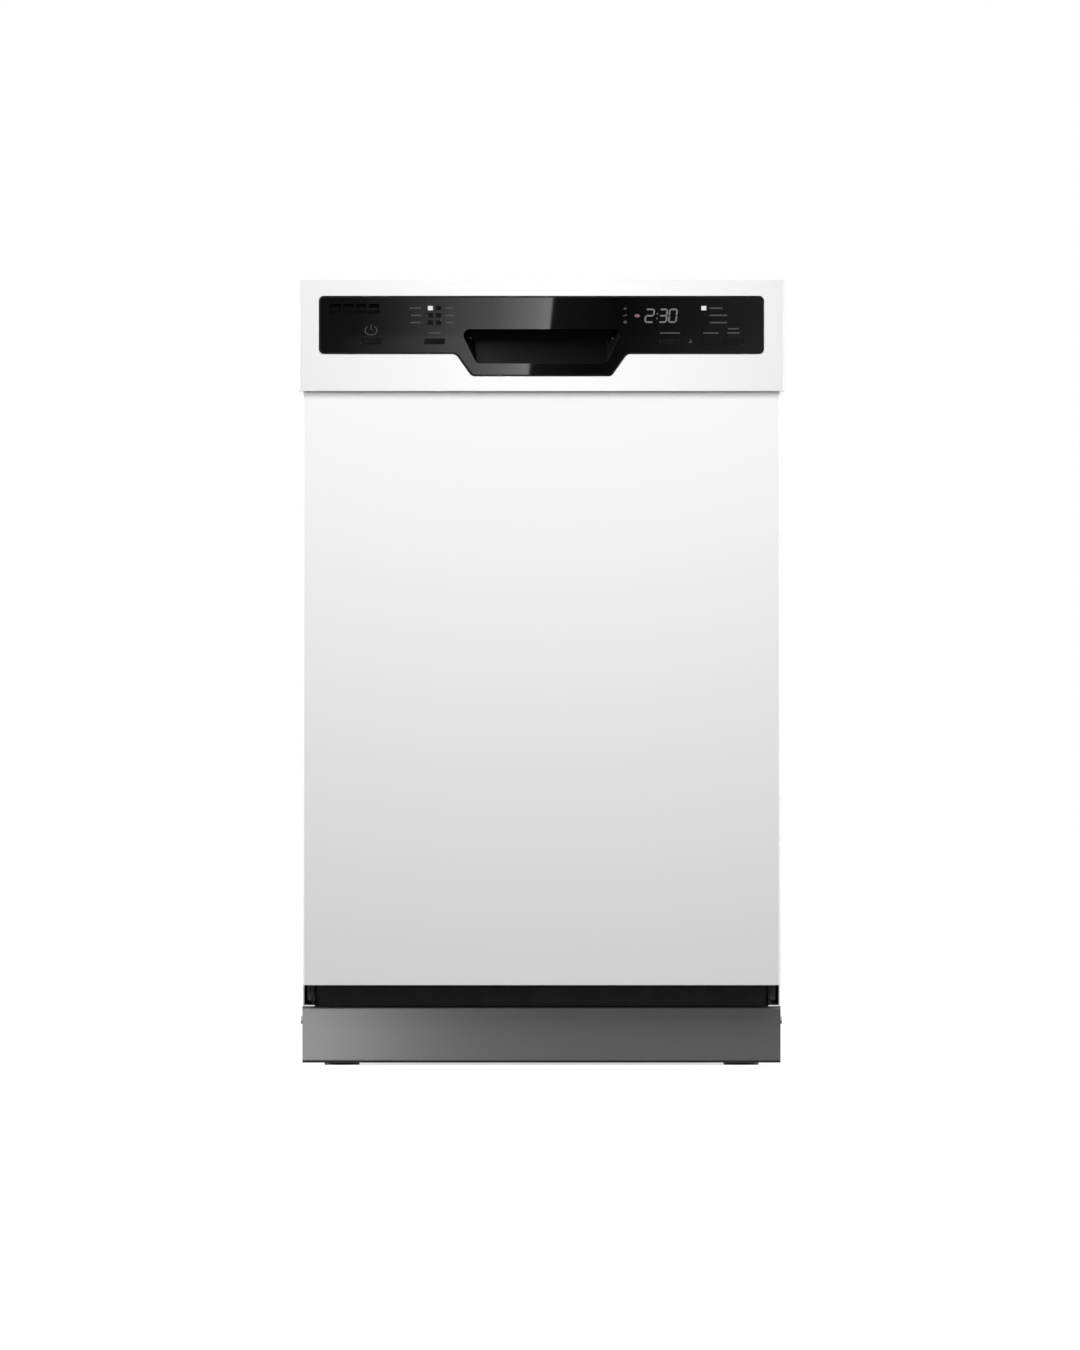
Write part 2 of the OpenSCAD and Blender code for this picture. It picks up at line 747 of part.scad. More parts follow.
latch_y = [liner_y - 26, liner_y - 1.5];

module latch_body() {
    color([0.1, 0.1, 0.11]) difference() {
        block(-32, 32, latch_y[0], latch_y[1], 770, 800);
        block(-13, 13, latch_y[0] + 3, latch_y[1] + 1, 787, 797.5);
        block(-7.5, 7.5, liner_y - 15.5, liner_y - 7.5, 771.5, 790);
    }
}

module latch_plunger() {
    color("white") {
        block(-7, 7, liner_y - 15, liner_y - 8, 777, 785);
        along_x(-7, 7) polygon([
            [liner_y - 15, 784.9], [liner_y - 8, 784.9], [liner_y - 10, 789.4], [liner_y - 13, 789.4]
        ]);
    }
}

module button(x) {
    stem_r = 2;
    color([0.07, 0.07, 0.075]) {
        along_y(front_y, fascia_y + fascia_t) button_outline(x, 0);
        rod_y(x, fascia_y + fascia_t - 0.1, fascia_y + 6.8, button_z, stem_r);
    }
}

module power_button() button(button_x[0]);
module cycle_button() button(button_x[1]);
module delay_button() button(button_x[2]);
module options_button() button(button_x[3]);
module start_button() button(button_x[4]);

// ------------------------------------------------------------------ racks

module rack_rails() {
    h = 15;
    color("silver") both_sides() difference() {
        block(tub_hw - 7, tub_hw - 1.6, rack_y0 + 1, rack_y1, rail_z - h / 2, rail_z + h / 2);
        block(tub_hw - 9, tub_hw - 3, rack_y0 + 6, rack_y1 - 6, rail_z - h / 2 + 1.5, rail_z + h / 2 - 1.5);
    }
}

// A wire rack: a lattice floor and four lattice walls
module rack_walls(hw, z0) {
    z1 = z0 + rack_h;
    along_z(z0, z0 + bar) lattice(-hw, hw, rack_y0, rack_y1, 12, 12);
    along_y(rack_y0, rack_y0 + bar) lattice(-hw, hw, z0, z1, 12, 3);
    along_y(rack_y1 - bar, rack_y1) lattice(-hw, hw, z0, z1, 12, 3);
    both_sides() along_x(hw - bar, hw) lattice(rack_y0, rack_y1, z0, z1, 12, 3);
}

module upper_rack() {
    spout_z = upper_rack_z - 7;
    color("lightsteelblue") {
        rack_walls(upper_rack_hw, upper_rack_z);
        rod_y(0, arm_c[1] + 12, rack_y1, spout_z, 6.5);
        rod_z(arm_c[0], arm_c[1], upper_rack_z - 29, upper_rack_z + 0.5, 8);
        rod_z(arm_c[0], arm_c[1], upper_rack_z - 14, upper_rack_z + 0.5, 13);
        both_sides() for (y = [rack_y0 + 60, rack_y1 - 60])
            rod_x(upper_rack_hw - 1, tub_hw - 7.5, y, rail_z, 5.5);
    }
}

// Two blades with rounded tips around a hub that turns on a post
module spray_arm(z, reach, post) {
    hub_r = 19;
    blade_w = 17;
    difference() {
        union() {
            along_z(z, z + 9) hull() for (s = [-1, 1]) {
                translate([arm_c[0] + s * (reach - 12), arm_c[1] + s * 7]) circle(12);
                translate([arm_c[0], arm_c[1] - s * 5]) circle(blade_w);
            }
            rod_z(arm_c[0], arm_c[1], z - 4, z + 13, hub_r);
        }
        rod_z(arm_c[0], arm_c[1], z - 5, z + 14, post + running_gap);
    }
}

module upper_spray_arm() color("silver") spray_arm(upper_rack_z - 28, 190, 8);
module lower_spray_arm() color("silver") spray_arm(tub_z0 + 13, 186, post_r);

shelf_x = -upper_rack_hw + bar + 3;
shelf_z = upper_rack_z + rack_h - 12;

module cup_shelf() {
    w = 92;
    color("lightsteelblue") {
        along_z(shelf_z, shelf_z + 3) intersection() {
            lattice(shelf_x, shelf_x + w, rack_y0 + 40, rack_y0 + 240, 4, 8);
            rounded_rect(shelf_x, shelf_x + w, rack_y0 + 40, rack_y0 + 240, 3);
        }
        rod_y(shelf_x + 1.5, rack_y0 + 32, rack_y0 + 248, shelf_z + 1.5, 1.8);
    }
}

module lower_rack() {
    color("lightsteelblue") {
        rack_walls(lower_rack_hw, lower_rack_z);
        both_sides() for (y = wheel_y) {
            block(lower_rack_hw - bar, lower_rack_hw, y - 9, y + 9, wheel_z - 7, lower_rack_z + 1);
            rod_x(lower_rack_hw - 1, wheel_x0 + wheel_w + 1, y, wheel_z, axle_r);
            rod_x(wheel_x0 + wheel_w + 0.6, wheel_x0 + wheel_w + 2, y, wheel_z, axle_r + 2);
        }
    }
}

module wheel(y) {
    color("lightgray") difference() {
        rod_x(wheel_x0, wheel_x0 + wheel_w, y, wheel_z, wheel_r);
        rod_x(wheel_x0 - 1, wheel_x0 + wheel_w + 1, y, wheel_z, axle_r + running_gap);
        rod_x(wheel_x0 + wheel_w - 3, wheel_x0 + wheel_w + 1, y, wheel_z, wheel_r - 3);
        rod_x(wheel_x0 - 1, wheel_x0 + 3, y, wheel_z, wheel_r - 3);
    }
}

module wheel_front_right() wheel(wheel_y[0]);
module wheel_rear_right() wheel(wheel_y[1]);
module wheel_front_left() mirror([1, 0, 0]) wheel(wheel_y[0]);
module wheel_rear_left() mirror([1, 0, 0]) wheel(wheel_y[1]);

basket = [98, 182, rack_y0 + 12, rack_y0 + 212];
basket_z = [lower_rack_z + bar + 0.4, lower_rack_z + 122];

module cutlery_basket() {
    wall = 2.5;
    cells = 4;
    pitch = (basket[3] - basket[2] - wall) / cells;
    mid_x = (basket[0] + basket[1]) / 2;
    mid_y = (basket[2] + basket[3]) / 2;
    color("slategray") {
        difference() {
            along_z(basket_z[0], basket_z[1]) rounded_rect(basket[0], basket[1], basket[2], basket[3], 6);
            for (k = [0 : cells - 1])
                block(basket[0] + wall, basket[1] - wall, basket[2] + wall + pitch * k,
                      basket[2] + pitch * (k + 1), basket_z[0] + wall, basket_z[1] + 1);
        }
        difference() {
            along_x(mid_x - 3, mid_x + 3)
                rounded_rect(mid_y - 34, mid_y + 34, basket_z[1] - 6, basket_z[1] + 38, 8);
            along_x(mid_x - 4, mid_x + 4)
                rounded_rect(mid_y - 27, mid_y + 27, basket_z[1] - 20, basket_z[1] + 31, 6);
        }
    }
}

module filter_cylinder() {
    z = tub_z0 + 1.8;
    color("dimgray") {
        difference() {
            rod_z(filter_c[0], filter_c[1], filter_z0, z, filter_r - 1);
            rod_z(filter_c[0], filter_c[1], filter_z0 + 2, z + 3, filter_r - 3);
        }
        difference() {
            rod_z(filter_c[0], filter_c[1], z, z + 2, filter_r + 3);
            rod_z(filter_c[0], filter_c[1], z - 1, z + 3, filter_r - 3);
        }
        block(filter_c[0] - filter_r, filter_c[0] + filter_r, filter_c[1] - 2.5, filter_c[1] + 2.5,
              z + 1.9, z + 8);
    }
}

// -------------------------------------------------------------------- feet

module foot(p, pad_r) {
    color([0.12, 0.12, 0.12]) {
        rod_z(p[0], p[1], 0, 8, pad_r);
        rod_z(p[0], p[1], 7.5, 16, 9);
    }
    color("silver") rod_z(p[0], p[1], 15, tray_z0 + foot_travel + 2, foot_stem_r);
}

module foot_front_left() foot(foot_xy[0], 18);
module foot_front_right() foot(foot_xy[1], 18);
module foot_rear() foot(foot_xy[2], 24);

tub();
tub_gasket();
base_tray();
side_panel_left();
side_panel_right();
sound_blanket();
front_top_rail();
worktop_brackets();
kick_plate();
kick_plate_screws();
sump();
wash_pump();
drain_pump();
inlet_valve();
terminal_box();
water_inlet_chamber();
feed_pipe();
rail_rollers();
filter_plate();
hinge_brackets();
door_springs();
door_outer_panel();
door_inner_liner();
door_insulation();
console_housing();
console_fascia();
handle_pocket();
display_lens();
control_board();
led_lenses_lit();
led_lenses_off();
vent_duct();
hinge_arms();
door_bottom_seal();
door_screws();
dispenser_body();
latch_body();
latch_plunger();
dispenser_lid();
rinse_aid_cap();
power_button();
cycle_button();
delay_button();
options_button();
start_button();
rack_rails();
upper_rack();
upper_spray_arm();
cup_shelf();
lower_rack();
wheel_front_left();
wheel_front_right();
wheel_rear_left();
wheel_rear_right();
cutlery_basket();
lower_spray_arm();
filter_cylinder();
foot_front_left();
foot_front_right();
foot_rear();
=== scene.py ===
"""Looks of a built-in dishwasher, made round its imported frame. Metres, +Z up, the door faces -Y."""

import json
import math

import bmesh
import bpy
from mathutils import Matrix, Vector


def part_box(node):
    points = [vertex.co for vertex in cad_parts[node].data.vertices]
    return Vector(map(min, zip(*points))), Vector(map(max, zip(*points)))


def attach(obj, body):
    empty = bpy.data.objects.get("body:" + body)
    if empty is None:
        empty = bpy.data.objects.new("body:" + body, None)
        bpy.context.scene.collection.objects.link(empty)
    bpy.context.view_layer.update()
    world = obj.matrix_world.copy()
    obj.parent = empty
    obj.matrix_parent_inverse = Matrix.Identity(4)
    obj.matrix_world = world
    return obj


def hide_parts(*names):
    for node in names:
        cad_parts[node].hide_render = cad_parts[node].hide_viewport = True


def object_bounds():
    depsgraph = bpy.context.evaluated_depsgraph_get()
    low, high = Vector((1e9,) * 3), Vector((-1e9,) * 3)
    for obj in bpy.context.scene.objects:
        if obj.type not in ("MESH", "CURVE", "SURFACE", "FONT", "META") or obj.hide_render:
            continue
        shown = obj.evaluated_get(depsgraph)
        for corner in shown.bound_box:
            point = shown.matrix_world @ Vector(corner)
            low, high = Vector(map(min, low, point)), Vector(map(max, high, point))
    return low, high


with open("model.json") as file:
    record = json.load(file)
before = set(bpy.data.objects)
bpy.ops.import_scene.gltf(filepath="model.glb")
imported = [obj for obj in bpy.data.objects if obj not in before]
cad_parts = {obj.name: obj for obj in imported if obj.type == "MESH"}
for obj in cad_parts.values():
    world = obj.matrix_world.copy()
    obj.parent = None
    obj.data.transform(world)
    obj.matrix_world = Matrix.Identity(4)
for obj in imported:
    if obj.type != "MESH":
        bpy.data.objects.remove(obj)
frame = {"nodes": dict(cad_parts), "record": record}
nodes = frame["nodes"]
cad_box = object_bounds()
scene = bpy.context.scene
MM = 0.001

# ---------------------------------------------------------------- places read from the frame

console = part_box("console_housing")
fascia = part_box("console_fascia")
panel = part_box("door_outer_panel")
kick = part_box("kick_plate")
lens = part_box("display_lens")
buttons = {n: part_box(n + "_button") for n in ("power", "cycle", "delay", "options", "start")}
fascia_face = fascia[0].y
front = cad_box[0].y
top = cad_box[1].z


def middle(box):
    return (box[0] + box[1]) / 2


# ------------------------------------------------------------------------------------- camera

CAMERA_DISTANCE = 30.0
CAMERA_X = -1.5 * MM
EYE_HEIGHT = top / 2 - 2 * MM
FRAME_HEIGHT = 1.3828  # height of the picture at the plane of the console
SENSOR = 36.0


def make_camera():
    """A long lens straight in front, so that depth hardly changes the size of what is seen."""
    data = bpy.data.cameras.new("camera")
    data.sensor_width = SENSOR
    data.lens = SENSOR * CAMERA_DISTANCE / FRAME_HEIGHT
    data.clip_end = 3 * CAMERA_DISTANCE
    camera = bpy.data.objects.new("camera", data)
    camera.location = (CAMERA_X, console[0].y - CAMERA_DISTANCE, EYE_HEIGHT)
    camera.rotation_euler = (math.pi / 2, 0, 0)
    scene.collection.objects.link(camera)
    scene.camera = camera


# ---------------------------------------------------------------------------------- materials

ACROSS = (0.04, 1, 1)  # scratches along X
UPRIGHT = (1, 1, 0.04)  # scratches along Z
NOISE_LOW, NOISE_HIGH = 0.3, 0.7  # nearly all noise values lie between these


class Paint:
    """A Principled material with helpers for the fine structure of its surface."""

    def __init__(self, name, color, roughness, metallic=0.0, **sockets):
        self.material = bpy.data.materials.new(name)
        self.material.use_nodes = True
        self.tree = self.material.node_tree
        self.shader = self.tree.nodes["Principled BSDF"]
        values = {"Base Color": (*color, 1), "Roughness": roughness, "Metallic": metallic}
        values.update(sockets)
        for socket, value in values.items():
            self.shader.inputs[socket].default_value = value
        self.height = None

    def node(self, kind, **inputs):
        n = self.tree.nodes.new(kind)
        for socket, value in inputs.items():
            n.inputs[socket].default_value = value
        return n

    def link(self, a, b):
        self.tree.links.new(a, b)

    def noise(self, scale, detail=3.0, stretch=(1, 1, 1)):
        place = self.node("ShaderNodeTexCoord")
        mapping = self.node("ShaderNodeMapping", Scale=stretch)
        noise = self.node("ShaderNodeTexNoise", Scale=scale, Detail=detail)
        self.link(place.outputs["Object"], mapping.inputs["Vector"])
        self.link(mapping.outputs["Vector"], noise.inputs["Vector"])
        return noise.outputs["Fac"]

    def spread(self, fac, low, high):
        ramp = self.node("ShaderNodeMapRange")
        ramp.inputs["From Min"].default_value = NOISE_LOW
        ramp.inputs["From Max"].default_value = NOISE_HIGH
        ramp.inputs["To Min"].default_value = low
        ramp.inputs["To Max"].default_value = high
        self.link(fac, ramp.inputs["Value"])
        return ramp.outputs["Result"]

    def vary_roughness(self, low, high, scale, detail=3.0, stretch=(1, 1, 1)):
        self.link(self.spread(self.noise(scale, detail, stretch), low, high), self.shader.inputs["Roughness"])
        return self

    def vary_color(self, first, second, scale, detail=3.0, stretch=(1, 1, 1)):
        mix = self.node("ShaderNodeMix")
        mix.data_type = "RGBA"
        mix.inputs[6].default_value = (*first, 1)
        mix.inputs[7].default_value = (*second, 1)
        self.link(self.spread(self.noise(scale, detail, stretch), 0, 1), mix.inputs[0])
        self.link(mix.outputs[2], self.shader.inputs["Base Color"])
        return self

    def bump(self, scale, distance, strength=1.0, detail=2.0, stretch=(1, 1, 1)):
        bump = self.node("ShaderNodeBump", Strength=strength, Distance=distance)
        self.link(self.noise(scale, detail, stretch), bump.inputs["Height"])
        if self.height is not None:
            self.link(self.height, bump.inputs["Normal"])
        self.height = bump.outputs["Normal"]
        self.link(self.height, self.shader.inputs["Normal"])
        return self


def brushed(name, color, roughness, stretch, depth=0.004 * MM):
    """Rolled or brushed sheet: long fine scratches along the axis whose stretch is small."""
    paint = Paint(name, color, roughness, 1.0, Anisotropic=0.35)
    paint.vary_roughness(roughness - 0.03, roughness + 0.03, 900, 3, stretch)
    paint.vary_color([c * 0.98 for c in color], [min(1, c * 1.02) for c in color], 4, 2)
    return paint.bump(2000, depth, 0.5, 2, stretch).material


def moulded(name, color, roughness, grain=0.02 * MM, **sockets):
    """Injection-moulded plastic with a fine spark-eroded grain."""
    paint = Paint(name, color, roughness, **sockets)
    paint.vary_roughness(roughness - 0.05, roughness + 0.06, 40)
    return paint.bump(1600, grain, 0.5).material


def white_enamel():
    paint = Paint("white_enamel", (0.86, 0.86, 0.862), 0.42, **{"Specular IOR Level": 0.3})
    paint.vary_roughness(0.38, 0.47, 30)
    return paint.bump(420, 0.012 * MM, 0.35, 2).material


def white_plastic():
    paint = Paint("white_plastic", (0.88, 0.88, 0.88), 0.36, **{"Specular IOR Level": 0.35})
    paint.vary_roughness(0.32, 0.4, 30)
    return paint.bump(1100, 0.006 * MM, 0.35).material


def black_gloss():
    paint = Paint("black_gloss", (0.0016, 0.0016, 0.0018), 0.015)
    paint.vary_roughness(0.01, 0.02, 22, 4)
    return paint.bump(60, 0.002 * MM, 0.1, 2).material


def display_glass():
    paint = Paint("display_glass", (0.001, 0.001, 0.0012), 0.04)
    return paint.vary_roughness(0.03, 0.06, 40).material


def pocket_black():
    paint = Paint("pocket_black", (0.0025, 0.0025, 0.0025), 0.34, **{"Specular IOR Level": 0.05})
    paint.vary_roughness(0.31, 0.37, 60)
    return paint.bump(1500, 0.004 * MM, 0.2).material


def glow(name, color, strength):
    paint = Paint(name, color, 0.3)
    paint.shader.inputs["Emission Color"].default_value = (*color, 1)
    paint.shader.inputs["Emission Strength"].default_value = strength
    paint.vary_roughness(0.26, 0.34, 300)
    return paint.material


def satin_kick():
    paint = Paint("kick_metal", (0.207, 0.2048, 0.205), 0.42, 1.0)
    paint.vary_roughness(0.415, 0.425, 300, 3, ACROSS)
    return paint.bump(1500, 0.001 * MM, 0.3, 3, ACROSS).material


def felt():
    paint = Paint("felt", (0.05, 0.048, 0.046), 0.95, **{"Sheen Weight": 0.4})
    paint.vary_color((0.03, 0.03, 0.03), (0.09, 0.088, 0.085), 700, 5)
    return paint.bump(900, 0.4 * MM, 0.8, 5).material


def galvanised():
    paint = Paint("galvanised_sheet", (0.62, 0.64, 0.66), 0.42, 0.9)
    paint.vary_color((0.585, 0.605, 0.625), (0.655, 0.675, 0.695), 150, 3)
    paint.vary_roughness(0.38, 0.46, 120, 3)
    return paint.bump(700, 0.003 * MM, 0.3).material


def circuit_board():
    paint = Paint("circuit_board", (0.02, 0.12, 0.05), 0.35)
    paint.vary_color((0.012, 0.08, 0.035), (0.03, 0.17, 0.07), 260, 2, (1, 1, 0.2))
    return paint.bump(800, 0.02 * MM, 0.5).material


MATERIALS = {
    "stainless": brushed("stainless", (0.6, 0.6, 0.605), 0.3, UPRIGHT),
    "zinc_steel": brushed("zinc_steel", (0.62, 0.63, 0.64), 0.38, UPRIGHT),
    "galvanised_sheet": galvanised(),
    "white_enamel": white_enamel(),
    "white_plastic": white_plastic(),
    "black_gloss": black_gloss(),
    "display_glass": display_glass(),
    "button_black": moulded("button_black", (0.003, 0.003, 0.003), 0.3, **{"Specular IOR Level": 0.3}),
    "led_lit": glow("led_lit", (0.3, 0.3, 0.3), 1.2),
    "led_dark": moulded("led_dark", (0.0006, 0.0006, 0.0006), 0.4, **{"Specular IOR Level": 0.05}),
    "kick_metal": satin_kick(),
    "base_plastic": moulded("base_plastic", (0.013, 0.013, 0.014), 0.55),
    "rubber": moulded("rubber", (0.028, 0.028, 0.03), 0.6, 0.04 * MM),
    "felt": felt(),
    "grey_plastic": moulded("grey_plastic", (0.11, 0.125, 0.14), 0.42),
    "light_grey_plastic": moulded("light_grey_plastic", (0.42, 0.44, 0.46), 0.38),
    "blue_plastic": moulded("blue_plastic", (0.05, 0.13, 0.32), 0.34),
    "pump_housing": moulded("pump_housing", (0.06, 0.065, 0.07), 0.45),
    "clear_plastic": moulded("clear_plastic", (0.7, 0.74, 0.76), 0.22),
    "rack_coating": moulded("rack_coating", (0.36, 0.39, 0.42), 0.3, 0.03 * MM),
    "circuit_board": circuit_board(),
    "foot_plastic": moulded("foot_plastic", (0.02, 0.02, 0.02), 0.5),
}
POCKET_BLACK = pocket_black()
PRINT_GREY = moulded("print_grey", (0.062, 0.062, 0.064), 0.6, **{"Specular IOR Level": 0.1})
# painted shade: matt black for the band that stands in for the dark rounded edge of the fascia
EDGE_SHADE_BLACK = moulded("edge_shade_black", (0.001, 0.001, 0.001), 0.5, **{"Specular IOR Level": 0.1})
DIGIT_GLOW = glow("digit_glow", (0.04, 0.04, 0.041), 1.0)
RED_GLOW = glow("red_glow", (0.05, 0.012, 0.012), 1.2)

# ------------------------------------------------------------------------------ CAD pieces' looks

BEVELS = {  # edge radius of the CAD pieces, in millimetres
    "console_housing": 1.2, "handle_pocket": 0.8, "door_outer_panel": 0.5,
    "kick_plate": 0.4, "display_lens": 0.2, "tub_gasket": 1.2, "base_tray": 0.8, "dispenser_body": 0.8,
    "dispenser_lid": 0.7, "rinse_aid_cap": 0.8, "door_bottom_seal": 0.5, "latch_body": 0.6, "tub": 0.3,
    "wash_pump": 1.5, "drain_pump": 1.0, "inlet_valve": 0.6, "terminal_box": 0.8, "feed_pipe": 1.5,
    "rack_rails": 0.4, "rail_rollers": 0.8, "filter_cylinder": 0.8, "sump": 0.8, "front_top_rail": 0.3,
}
BUTTON_BEVEL = 0.35
WHEEL_BEVEL = 0.8
BEVEL_ANGLE = math.radians(38)  # edges that turn by more are rounded
SHARP_ANGLE = math.radians(35)  # edges of the made pieces that turn by more are shaded sharp


def bevel(obj, radius):
    weld = obj.modifiers.new("weld", "WELD")
    weld.merge_threshold = 0.002 * MM
    mod = obj.modifiers.new("bevel", "BEVEL")
    mod.width = radius * MM
    mod.segments = 3
    mod.limit_method = "ANGLE"
    mod.angle_limit = BEVEL_ANGLE
    mod.harden_normals = True


def dress_cad_nodes():
    """Gives every CAD node its material, and rounded edges where they show."""
    slots = {s["node"]: s["material_slot"] for s in frame["record"]["subparts"]}
    for name, obj in nodes.items():
        obj.data.materials.clear()
        obj.data.materials.append(MATERIALS[slots[name]])
        if name in BEVELS:
            bevel(obj, BEVELS[name])
        elif name.endswith("_button"):
            bevel(obj, BUTTON_BEVEL)
        elif name.startswith("wheel_"):
            bevel(obj, WHEEL_BEVEL)
    nodes["handle_pocket"].data.materials[0] = POCKET_BLACK
    nodes["vent_duct"].data.materials[0] = POCKET_BLACK


# ----------------------------------------------------------------------------------- mesh tools


def piece(name, bm, material, body, replaces=()):
    """Turns a bmesh into a piece of the object that rides on a body."""
    mesh = bpy.data.meshes.new(name)
    bmesh.ops.recalc_face_normals(bm, faces=bm.faces)
    bm.to_mesh(mesh)
    bm.free()
    obj = bpy.data.objects.new(name, mesh)
    scene.collection.objects.link(obj)
    mesh.materials.append(material)
    for polygon in mesh.polygons:
        polygon.use_smooth = True
    mesh.set_sharp_from_angle(angle=SHARP_ANGLE)
    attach(obj, body)
    if replaces:
        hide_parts(*replaces)


def rounded_path(points, bend, closed=False, steps=5):
    """The points with every corner turned into an arc-like curve of about the given radius."""
    points = [Vector(p) for p in points]
    count = len(points)
    most = 0.49  # of a side's length, so that two corners never meet
    path = []
    for i, p in enumerate(points):
        if not closed and i in (0, count - 1):
            path.append(p)
            continue
        before, after = points[i - 1], points[(i + 1) % count]
        a = p + (before - p).normalized() * min(bend, (before - p).length * most)
        b = p + (after - p).normalized() * min(bend, (after - p).length * most)
        for k in range(steps + 1):
            t = k / steps
            path.append(a * (1 - t) ** 2 + p * 2 * t * (1 - t) + b * t * t)
    return path


def tube(bm, path, radius, closed=False, sides=10):
    """Sweeps a circle along a path, with domed ends where the path is open."""
    count = len(path)
    dome = 0.6 * radius
    tangents = []
    for i in range(count):
        ahead = path[(i + 1) % count] if closed or i < count - 1 else path[i]
        behind = path[i - 1] if closed or i > 0 else path[i]
        tangents.append((ahead - behind).normalized())
    side = tangents[0].orthogonal().normalized()
    rings = []
    for p, t in zip(path, tangents):
        side = (side - t * side.dot(t)).normalized()
        up = t.cross(side)
        angles = [2 * math.pi * k / sides for k in range(sides)]
        rings.append([bm.verts.new(p + (side * math.cos(a) + up * math.sin(a)) * radius) for a in angles])
    pairs = list(zip(rings, rings[1:] + rings[:1])) if closed else list(zip(rings, rings[1:]))
    for first, second in pairs:
        for k in range(sides):
            n = (k + 1) % sides
            bm.faces.new((first[k], first[n], second[n], second[k]))
    if not closed:
        for ring, p, t in ((rings[0], path[0], -tangents[0]), (rings[-1], path[-1], tangents[-1])):
            tip = bm.verts.new(p + t * dome)
            for k in range(sides):
                bm.faces.new((ring[k], ring[(k + 1) % sides], tip))


def slab(bm, low, high):
    """A closed box between two corners."""
    low, high = Vector(low), Vector(high)
    verts = [
        bm.verts.new((x, y, z)) for x in (low.x, high.x) for y in (low.y, high.y) for z in (low.z, high.z)
    ]
    for loop in ((0, 1, 3, 2), (4, 6, 7, 5), (0, 4, 5, 1), (2, 3, 7, 6), (0, 2, 6, 4), (1, 5, 7, 3)):
        bm.faces.new([verts[k] for k in loop])


def plate(bm, outline, y0, y1):
    """Extrudes an outline of (x, z) points from y0 to y1."""
    near = [bm.verts.new((x, y0, z)) for x, z in outline]
    far = [bm.verts.new((x, y1, z)) for x, z in outline]
    bm.faces.new(near)
    bm.faces.new(far[::-1])
    for k in range(len(outline)):
        n = (k + 1) % len(outline)
        bm.faces.new((near[k], far[k], far[n], near[n]))


def ellipse(cx, cz, rx, rz, sides=20):
    """Outline points of an ellipse with its axes along the two coordinates."""
    angles = [2 * math.pi * k / sides for k in range(sides)]
    return [(cx + rx * math.cos(a), cz + rz * math.sin(a)) for a in angles]


def loft(bm, rings):
    """Joins closed rings of points into a closed skin."""
    rows = [[bm.verts.new(p) for p in ring] for ring in rings]
    count = len(rows[0])
    for a, b in zip(rows, rows[1:]):
        for k in range(count):
            n = (k + 1) % count
            bm.faces.new((a[k], a[n], b[n], b[k]))
    bm.faces.new(rows[0][::-1])
    bm.faces.new(rows[-1])


def lathe(bm, centre, profile, sides=40):
    """Turns a closed (radius, height) profile round a vertical axis at centre."""
    rings = []
    for k in range(sides):
        a = 2 * math.pi * k / sides
        rings.append([
            bm.verts.new((centre[0] + r * math.cos(a), centre[1] + r * math.sin(a), centre[2] + z))
            for r, z in profile
        ])
    for a, b in zip(rings, rings[1:] + rings[:1]):
        for k in range(len(profile)):
            n = (k + 1) % len(profile)
            bm.faces.new((a[k], a[n], b[n], b[k]))


# ------------------------------------------------------------------------- prints on the fascia

PRINT_DEPTH = 0.06 * MM
PRINT_Y = fascia_face + 0.02 * MM


def mark(bm, cx, cz, w, h):
    """A short printed bar that stands where a label would be."""
    steps = 4
    r = h / 2
    outline = []
    for sx, start in ((1, -90), (-1, 90)):
        for k in range(steps + 1):
            a = math.radians(start + 180 * k / steps)
            outline.append((cx + sx * (w / 2 - r) + r * math.cos(a), cz + r * math.sin(a)))
    plate(bm, outline, PRINT_Y - PRINT_DEPTH, PRINT_Y)


def ring_mark(bm, cx, cz, rx, rz, width, gap_deg, steps=28):
    """A printed ring, open at its top by gap_deg."""
    start = 90 + gap_deg / 2
    sweep = 360 - gap_deg
    for k in range(steps):
        quad = []
        for a, grow in ((k, 0), (k + 1, 0), (k + 1, -width), (k, -width)):
            angle = math.radians(start + sweep * a / steps)
            quad.append((cx + (rx + grow) * math.cos(angle), cz + (rz + grow) * math.sin(angle)))
        plate(bm, quad, PRINT_Y - PRINT_DEPTH, PRINT_Y)


def make_labels():
    """Plain bars in place of the words beside the indicators and above the buttons."""
    bm = bmesh.new()
    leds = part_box("led_lenses_off")
    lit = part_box("led_lenses_lit")
    first_row, row_pitch = lit[1].z - 2.2 * MM, 7.4 * MM
    thin = 1.5 * MM
    columns = (  # inner end of the bars, side they run to, their widths in millimetres
        (leds[0].x - 7 * MM, -1, (12.0, 10.5, 11.5)),
        (leds[0].x + 18 * MM, 1, (8.5, 9.5, 9.0)),
        (leds[1].x + 3 * MM, 1, (14.0, 18.5, 18.5)),
    )
    for k in range(3):
        for x, side, widths in columns:
            w = widths[k] * MM
            mark(bm, x + side * w / 2, first_row - k * row_pitch, w, thin)
    label_z = middle(buttons["cycle"]).z + 8.6 * MM
    for name, w in (("cycle", 13), ("delay", 21), ("options", 16)):
        mark(bm, middle(buttons[name]).x, label_z, w * MM, thin)
    for dz, w in ((0.0, 13), (4.4, 11.5)):
        mark(bm, middle(buttons["start"]).x, label_z + dz * MM, w * MM, thin)
    piece("label_bars", bm, PRINT_GREY, "door")


STRIP_HEIGHT = 59.2 * MM  # the fascia's part that runs the full width
LIP_TOP, LIP_BOTTOM = 87.9 * MM, 71.6 * MM  # half widths of the trapezoid that hangs below it
# width of the painted-shade band along the fascia's edge
EDGE_SHADE_WIDTH = 1.5 * MM


